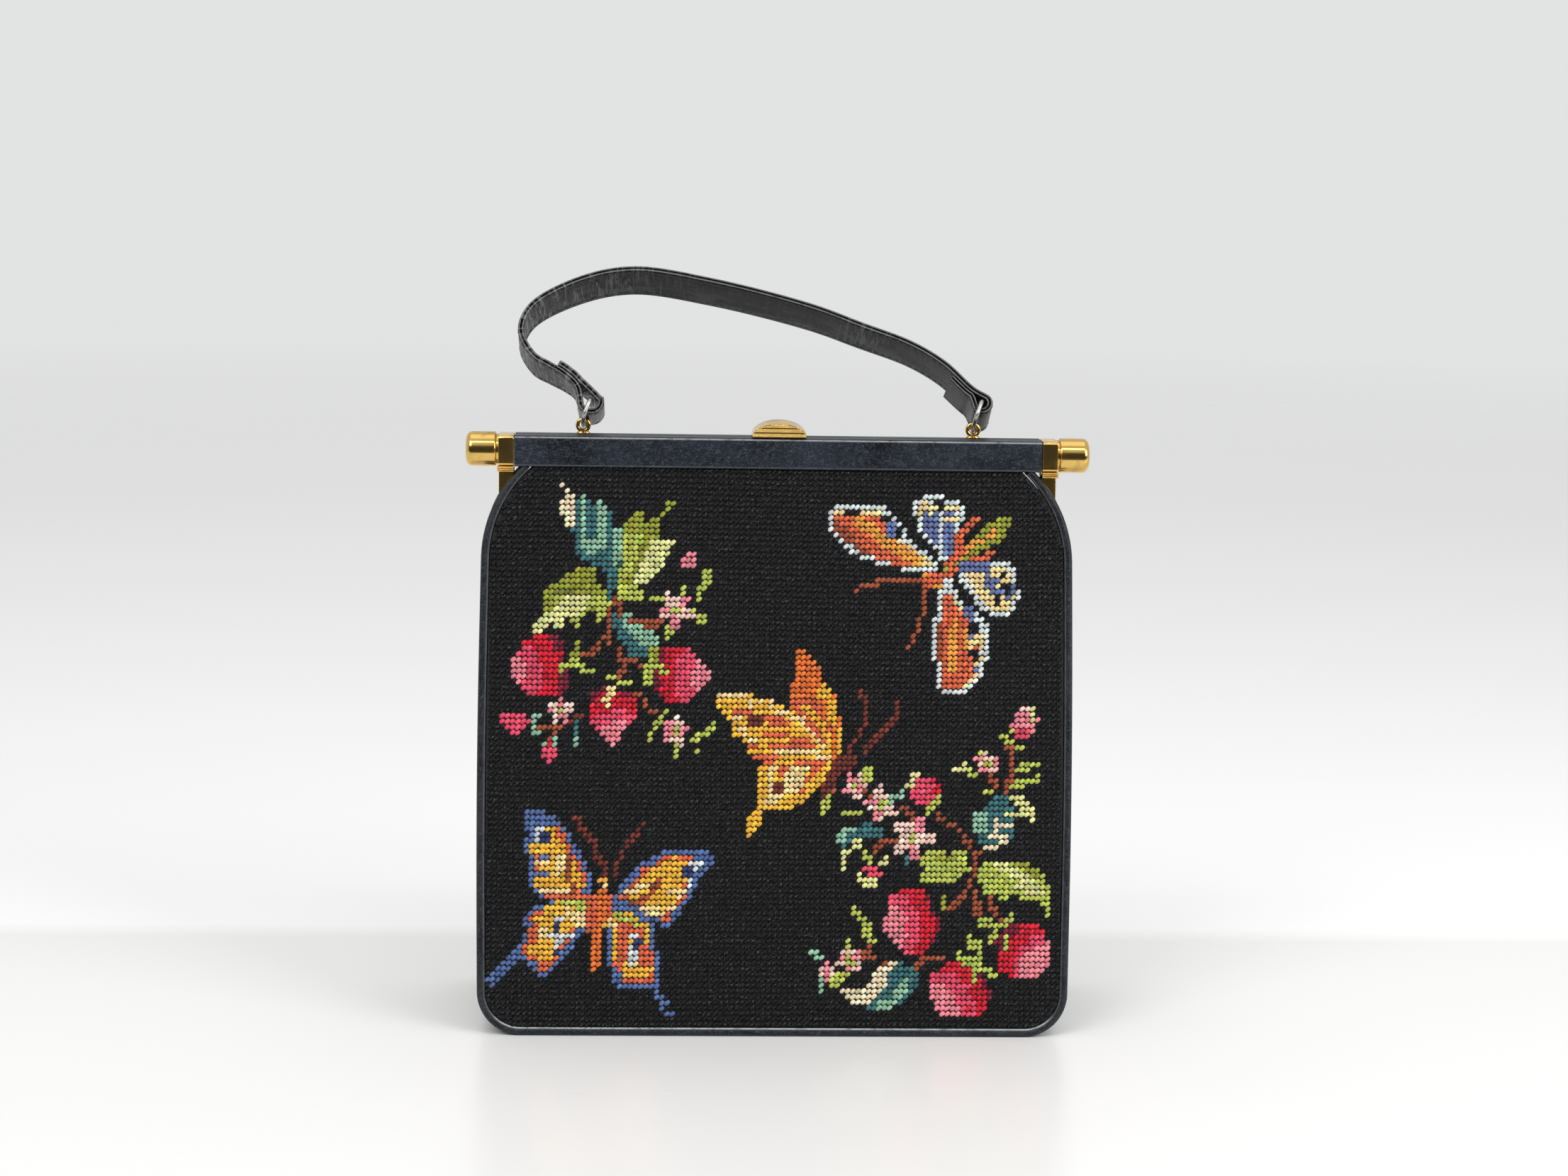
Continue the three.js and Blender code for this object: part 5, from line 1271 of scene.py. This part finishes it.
# middles and width directions of the strap, from the tip of the left tail to the tip of the right one
def strapLine():
    h = handle
    tilt = math.radians(h["linkTilt"])
    loops = {}
    for name, end in strapEnds.items():
        centre = np.array([h["linkReach"] * math.sin(tilt) - end["side"] * end["slide"],
                           h["linkReach"] * math.cos(tilt) - end["drop"]])
        turn = end["out"] - end["side"] * math.pi / 2 - end["side"] * np.linspace(0, math.pi, 30)
        loops[name] = centre + end["loop"] * np.stack([np.cos(turn), np.sin(turn)], 1)
    share, bend, rise, back, turn = strapRoute.T
    middle = np.stack([share * h["eyeletSpan"] / 2 + bend * h["bend"], eyeletY + back * h["back"],
                       eyeletHeight + rise * h["rise"], turn], 1)
    starts = [np.append(endPoint(end, loops[name][0, 0], 0, loops[name][0, 1]),
                        math.degrees(end["lean"])) for name, end in strapEnds.items()]
    main = throughPoints(np.concatenate([[starts[0]], middle, [starts[1]]]))
    count = h["along"]
    main = readOff(np.linspace(0, 1, count), np.linspace(0, 1, len(main)), main)
    run = runOf(main[:, :3])
    at = np.linspace(0, run[-1], count)
    main = readOff(at, run, main)
    along = headings(main[:, :3])
    turn = np.radians(main[:, 3])
    width = np.stack([turn * 0, np.cos(turn), -np.sin(turn)], 1)
    width = unit(width - (width * along).sum(1, keepdims=True) * along)
    inner = np.cross(width, along)
    points, widths = [main[:, :3]], [width]
    for name, end in strapEnds.items():
        loop = endPoint(end, loops[name][1:, 0], 0, loops[name][1:, 1])
        fixed = endPoint(end, 0, 1, 0) - endPoint(end, 0, 0, 0)
        distance = np.linspace(0, end["tail"], 31)[1:]
        spots = distance if end["side"] < 0 else run[-1] - distance
        share = np.clip(distance / end["close"], 0, 1)
        ease = share * share * (3 - 2 * share)
        spacing = 2 * end["loop"] + (h["thick"] + bag["gap"] - 2 * end["loop"]) * ease
        tail = readOff(spots, at, main[:, :3]) + readOff(spots, at, inner) * spacing[:, None]
        endPoints = np.concatenate([loop, tail])
        endWidths = np.concatenate([np.repeat(fixed[None], len(loop), 0), readOff(spots, at, width)])
        if end["side"] < 0:
            points.insert(0, endPoints[::-1])
            widths.insert(0, endWidths[::-1])
        else:
            points.append(endPoints)
            widths.append(endWidths)
    return np.concatenate(points), np.concatenate(widths)


strapPoints, strapWidths = strapLine()
alongStrap = headings(strapPoints)
outOfStrap = unit(np.cross(alongStrap, strapWidths))
strapRun = runOf(strapPoints)


# the strap: two layers sewn together, with a groove where the thread lies and a line between their
# edges; it is creased most at its left end, and its lips carry a painted highlight
def strapShape():
    h = handle
    halfThick, halfWidth, curve = h["thick"] / 2, h["width"] / 2, h["edge"]
    over = np.linspace(-1, 1, h["across"]) * (halfWidth - curve)
    seam = bump(np.abs(over), halfWidth - h["seamInset"], h["seamWidth"])
    face = halfThick - h["seamDepth"] * seam
    turn = np.linspace(math.pi / 2, -math.pi / 2, 13)[1:-1]
    edge = np.stack([halfWidth - curve + curve * np.cos(turn), halfThick * np.sin(turn)], 1)
    edge[5, 0] -= h["split"]
    section = np.concatenate([np.stack([over, face], 1), edge,
                              np.stack([over, -face], 1)[::-1], edge[::-1] * (-1, 1)])
    rows = (strapPoints[:, None] + strapWidths[:, None] * section[:, :1]
            + outOfStrap[:, None] * section[:, 1:])
    x, least, fade = strapPoints[:, :1], h["creaseLeast"], h["creaseFade"]
    bent = least + (1 - least) / (1 + np.exp((x - h["creaseLeft"]) / fade))
    bent = bent + h["creaseMore"] * bump(x, h["creaseRight"], fade)
    # painted highlight on the lips of the edges
    lips = h["lipHighlight"] * bump(np.abs(section[:, 1]), h["lipAt"] * halfThick, h["lipWidth"])
    lips = lips * (np.abs(section[:, 0]) > halfWidth - curve + 0.01)
    measures = {"along": strapRun[:, None], "across": section[:, 0], "bent": bent, "paintedHighlightAndWear": lips}
    count = rows.shape[:2]
    spread = {label: np.broadcast_to(value, count).ravel() for label, value in measures.items()}
    return loft(rows), spread


# sewing thread: a short grain in the seam groove every few millimetres, on both faces and both
# edges; all grains have the faces of the first
def strapThreadShape():
    h = handle
    at = np.arange(h["seamStart"], strapRun[-1] - h["seamStart"], h["seamStep"])
    spot, width, ahead, out = (readOff(at, strapRun, field)[:, None, None]
                               for field in (strapPoints, strapWidths, alongStrap, outOfStrap))
    turn = (np.arange(6) / 6 * 2 * math.pi)[:, None]
    reach, size = np.array([(-1.1, 0.35), (-0.7, 1), (0.7, 1), (1.1, 0.35)]).T[:, :, None, None]
    ring = h["threadHalf"] * np.cos(turn) * width + h["threadRise"] * np.sin(turn) * out
    grains = reach * ahead + size * ring
    aside, above = (h["width"] / 2 - h["seamInset"]) * width, (h["thick"] / 2 - h["threadSink"]) * out
    rows = np.concatenate([spot + side * aside + face * above + grains
                           for side in (-1, 1) for face in (-1, 1)])
    corners = rows.shape[1] * rows.shape[2]
    starts = (np.arange(len(rows)) * corners)[:, None, None]
    faces = [(block + starts).reshape(-1, block.shape[1]) for block in loft(rows[0])[1]]
    return rows.reshape(-1, 3), faces


shape, measures = strapShape()
makePiece("strap_leather", shape, glazed, ["handle_strap"], crease=50, colour=measures)
makePiece("strap_thread", strapThreadShape(), thread, ["handle_strap"], crease=0)
print("handle ready")


# Clasp

clasp = {
    "width": 22.3, "height": 5.6, "depth": 10, "lip": 0.2, "swell": 0.2, "foot": 0.6, "pin": 0.7,
    "pinBack": 2.4, "knuckle": 1.3, "knuckleWidth": 13, "earThick": 1.4, "ear": 1.3,
    "plateThick": 0.7, "plateDepth": 3.7, "studWidth": 4.4, "studDepth": 2, "studHeight": 2.3,
    "studInset": 2.4, "wall": 1.1, "rim": 0.45,
}
tabBottom = bag["barTop"] + bag["gap"]
tabFront = -bag["barFront"] - clasp["lip"]
tabBack = tabFront + clasp["depth"]
pinY = tabBack + clasp["pinBack"]
pinHeight = tabBottom + clasp["plateThick"] + bag["gap"] + clasp["knuckle"]


# the tab: an oval arch that grows a little taller towards the back, with softly rounded rims; its front
# and back walls and the arch between them leave a pocket underneath for the stud
def tabShape():
    c = clasp

    # from the right foot over the top to the left foot, drawn in by the pull
    def arch(y, pull):
        turn = np.linspace(0, math.pi, 60)
        half, top = c["width"] / 2 - pull, (c["height"] - pull) * (1 + c["swell"] * y / c["depth"])
        foot = c["foot"] if pull < 0.5 else 0.3
        height = tabBottom + foot + (top - foot) * np.sin(turn)
        row = np.stack([half * np.cos(turn), np.full(60, tabFront + y), height], 1)
        feet = row[[0, -1]] * (1, 1, 0) + (0, 0, tabBottom)
        return np.concatenate([feet[:1], row, feet[1:]])

    rim, wall, depth = c["rim"], c["wall"], c["depth"]
    turn = np.linspace(0, math.pi / 2, 6)
    rims = np.stack([rim * (1 - np.cos(turn)), rim * (1 - np.sin(turn))], 1)
    wallRows = [*rims, (wall + 0.1, 0)]
    frontWall = loft(np.stack([arch(y, pull) for y, pull in wallRows]))
    backWall = loft(np.stack([arch(depth - y, pull) for y, pull in wallRows[::-1]]))
    shell = loft(np.stack([np.concatenate([arch(y, 0.01), arch(y, wall)[::-1]])
                           for y in np.linspace(wall, depth - wall, 8)]))
    reach, knuckle = c["knuckleWidth"] / 2, c["knuckle"]
    armBox = box(tabBack - wall + 0.1, pinHeight, pinY, pinHeight + knuckle, 0.2, 4)
    rollEnd = np.array([(reach - 0.2, knuckle), (reach, knuckle - 0.2)])
    roll = turnedX(np.concatenate([rollEnd[::-1] * (-1, 1), rollEnd]), 28, pinY, pinHeight)
    return joined(frontWall, backWall, shell, prism(armBox, -reach, reach, "x", 0.15), roll)


def claspBaseShape():
    c = clasp
    earInner = c["knuckleWidth"] / 2 + bag["gap"]
    half = earInner + c["earThick"]
    plateFront = tabBack + bag["gap"]
    plateBox = box(-half, plateFront, half, plateFront + c["plateDepth"], 0.4)
    shapes = [prism(plateBox, tabBottom, tabBottom + c["plateThick"], "z", 0.15)]
    for side in (-1, 1):
        turn = np.linspace(0, math.pi, 17)
        ear = np.stack([pinY + c["ear"] * np.cos(turn), pinHeight + c["ear"] * np.sin(turn)], 1)
        feet = [(pinY - c["ear"], tabBottom + 0.1), (pinY + c["ear"], tabBottom + 0.1)]
        x0, x1 = sorted((side * earInner, side * half))
        shapes.append(prism(np.concatenate([ear, feet]), x0, x1, "x", 0.2))
    return joined(*shapes)


def claspPinShape():
    reach = clasp["knuckleWidth"] / 2 + 2 * bag["gap"] + clasp["earThick"]
    radius = clasp["pin"]
    ends = quarter(reach - 0.3, radius, reach, radius - 0.4, False, 5)
    return turnedX(np.concatenate([ends[::-1] * (-1, 1), ends]), 24, pinY, pinHeight)


def claspStudShape():
    c = clasp
    front = tabFront + c["studInset"]
    half = c["studWidth"] / 2
    outline = box(-half, front, half, front + c["studDepth"], 0.5)
    return prism(outline, tabBottom, tabBottom + c["studHeight"], "z", 0.3)


makePiece("gilt_tab", tabShape(), ribbed, ["clasp_tab"], body="clasp", crease=45)
makePiece("gilt_clasp_base", claspBaseShape(), gilt, ["clasp_base"])
makePiece("gilt_clasp_pin", claspPinShape(), gilt, ["clasp_pin"])
makePiece("gilt_clasp_stud", claspStudShape(), gilt, ["clasp_catch"])
print("clasp ready")


# Studio

studio = {
    "eye": (-0.0515, -1.2452, 0.3862), "yaw": 2.515, "pitch": 9.393, "roll": 0.997,
    "focalPixels": 4299, "imageWidth": 2212, "sensor": 36,
}


# camera axes from its yaw to the right, pitch down and roll
def placeCamera():
    yaw, pitch, roll = (math.radians(studio[key]) for key in ("yaw", "pitch", "roll"))
    right = Vector((math.cos(yaw), -math.sin(yaw), 0))
    ahead = Vector((math.sin(yaw) * math.cos(pitch), math.cos(yaw) * math.cos(pitch), -math.sin(pitch)))
    up = right.cross(ahead)
    right, up = (right * math.cos(roll) + up * math.sin(roll),
                 up * math.cos(roll) - right * math.sin(roll))
    data = bpy.data.cameras.new("camera")
    data.sensor_width = studio["sensor"]
    data.lens = studio["focalPixels"] / studio["imageWidth"] * studio["sensor"]
    data.clip_start = 0.01
    camera = bpy.data.objects.new("camera", data)
    turn = Matrix((right, up, -ahead)).transposed().to_4x4()
    camera.matrix_world = Matrix.Translation(studio["eye"]) @ turn
    bpy.context.scene.collection.objects.link(camera)
    bpy.context.scene.camera = camera


def softBox(name, place, target, size, power, tint=(1, 1, 1)):
    data = bpy.data.lights.new(name, "AREA")
    data.shape, data.size, data.size_y = "RECTANGLE", size[0], size[1]
    data.energy, data.color = power, tint
    lamp = bpy.data.objects.new(name, data)
    lamp.location = place
    lamp.rotation_euler = (Vector(target) - Vector(place)).to_track_quat("-Z", "Y").to_euler()
    bpy.context.scene.collection.objects.link(lamp)


bpy.context.scene.view_settings.view_transform = "Standard"
placeCamera()
softBox("key", (-0.9, -1.1, 1.3), (0, 0, 0.15), (0.9, 0.9), 12)
softBox("fill", (1.2, -0.9, 0.8), (0, 0, 0.15), (0.8, 0.8), 14)
softBox("top", (0, 0.15, 1.5), (0, 0, 0.1), (1.4, 0.9), 2.5)
softBox("strip", (0, -0.75, 1.25), (0, 0, 0.2), (1.7, 0.12), 4)

# the board: paler from a soft line behind the bag; it fades out far away, so that no horizon shows,
# and well in front of the bag, so that brass looks past it into the dark
floorMesh = bpy.data.meshes.new("floor")
floorMesh.from_pydata([(-6, -6, 0), (6, -6, 0), (6, 6, 0), (-6, 6, 0)], [], [(0, 1, 2, 3)])
floor = bpy.data.objects.new("floor", floorMesh)
bpy.context.scene.collection.objects.link(floor)
pale = Finish("pale_board")
depth = pale.part(pale.place, "Y")
behind = (depth * 45.0).calc("SUBTRACT", 4.6, clamp=True)
far = pale.node("VectorMath", {0: pale.place}, output="Value", operation="LENGTH")
mottle = pale.noise(1.6, 0.0)
board = pale.blendOf(mottle, (0.75, 0.745, 0.735), (0.765, 0.76, 0.75))
pale.give(Base_Color=pale.blendOf(behind, board, (0.87, 0.87, 0.865)),
          Roughness=mottle * 0.04 + 0.25,
          Alpha=(far * -0.6).calc("ADD", 2.0, clamp=True) * (depth * 5.0).calc("ADD", 3.6, clamp=True))
floorMesh.materials.append(pale.material)

# the room: an even pale grey, dark only low down in front of the bag, which brass mirrors as dark
# bands; the camera itself sees it pale there too
world = bpy.data.worlds.new("studio")
bpy.context.scene.world = world
world.use_nodes = True
room = Recipe(world.node_tree)
way = room.node("TexCoord", output="Generated")
ahead = (room.part(way, "Y") * -3.5).calc("SUBTRACT", 1.0, clamp=True)
low = (room.part(way, "Z") * -4.0).calc("ADD", 2.4, clamp=True)
unseen = room.node("LightPath", output="Is Camera Ray") * -1.0 + 1.0
tone = room.blendOf(ahead * low * unseen, (0.76, 0.765, 0.765), (0.06, 0.06, 0.065))
room.plug(tone, world.node_tree.nodes["Background"].inputs["Color"])
print("studio ready")
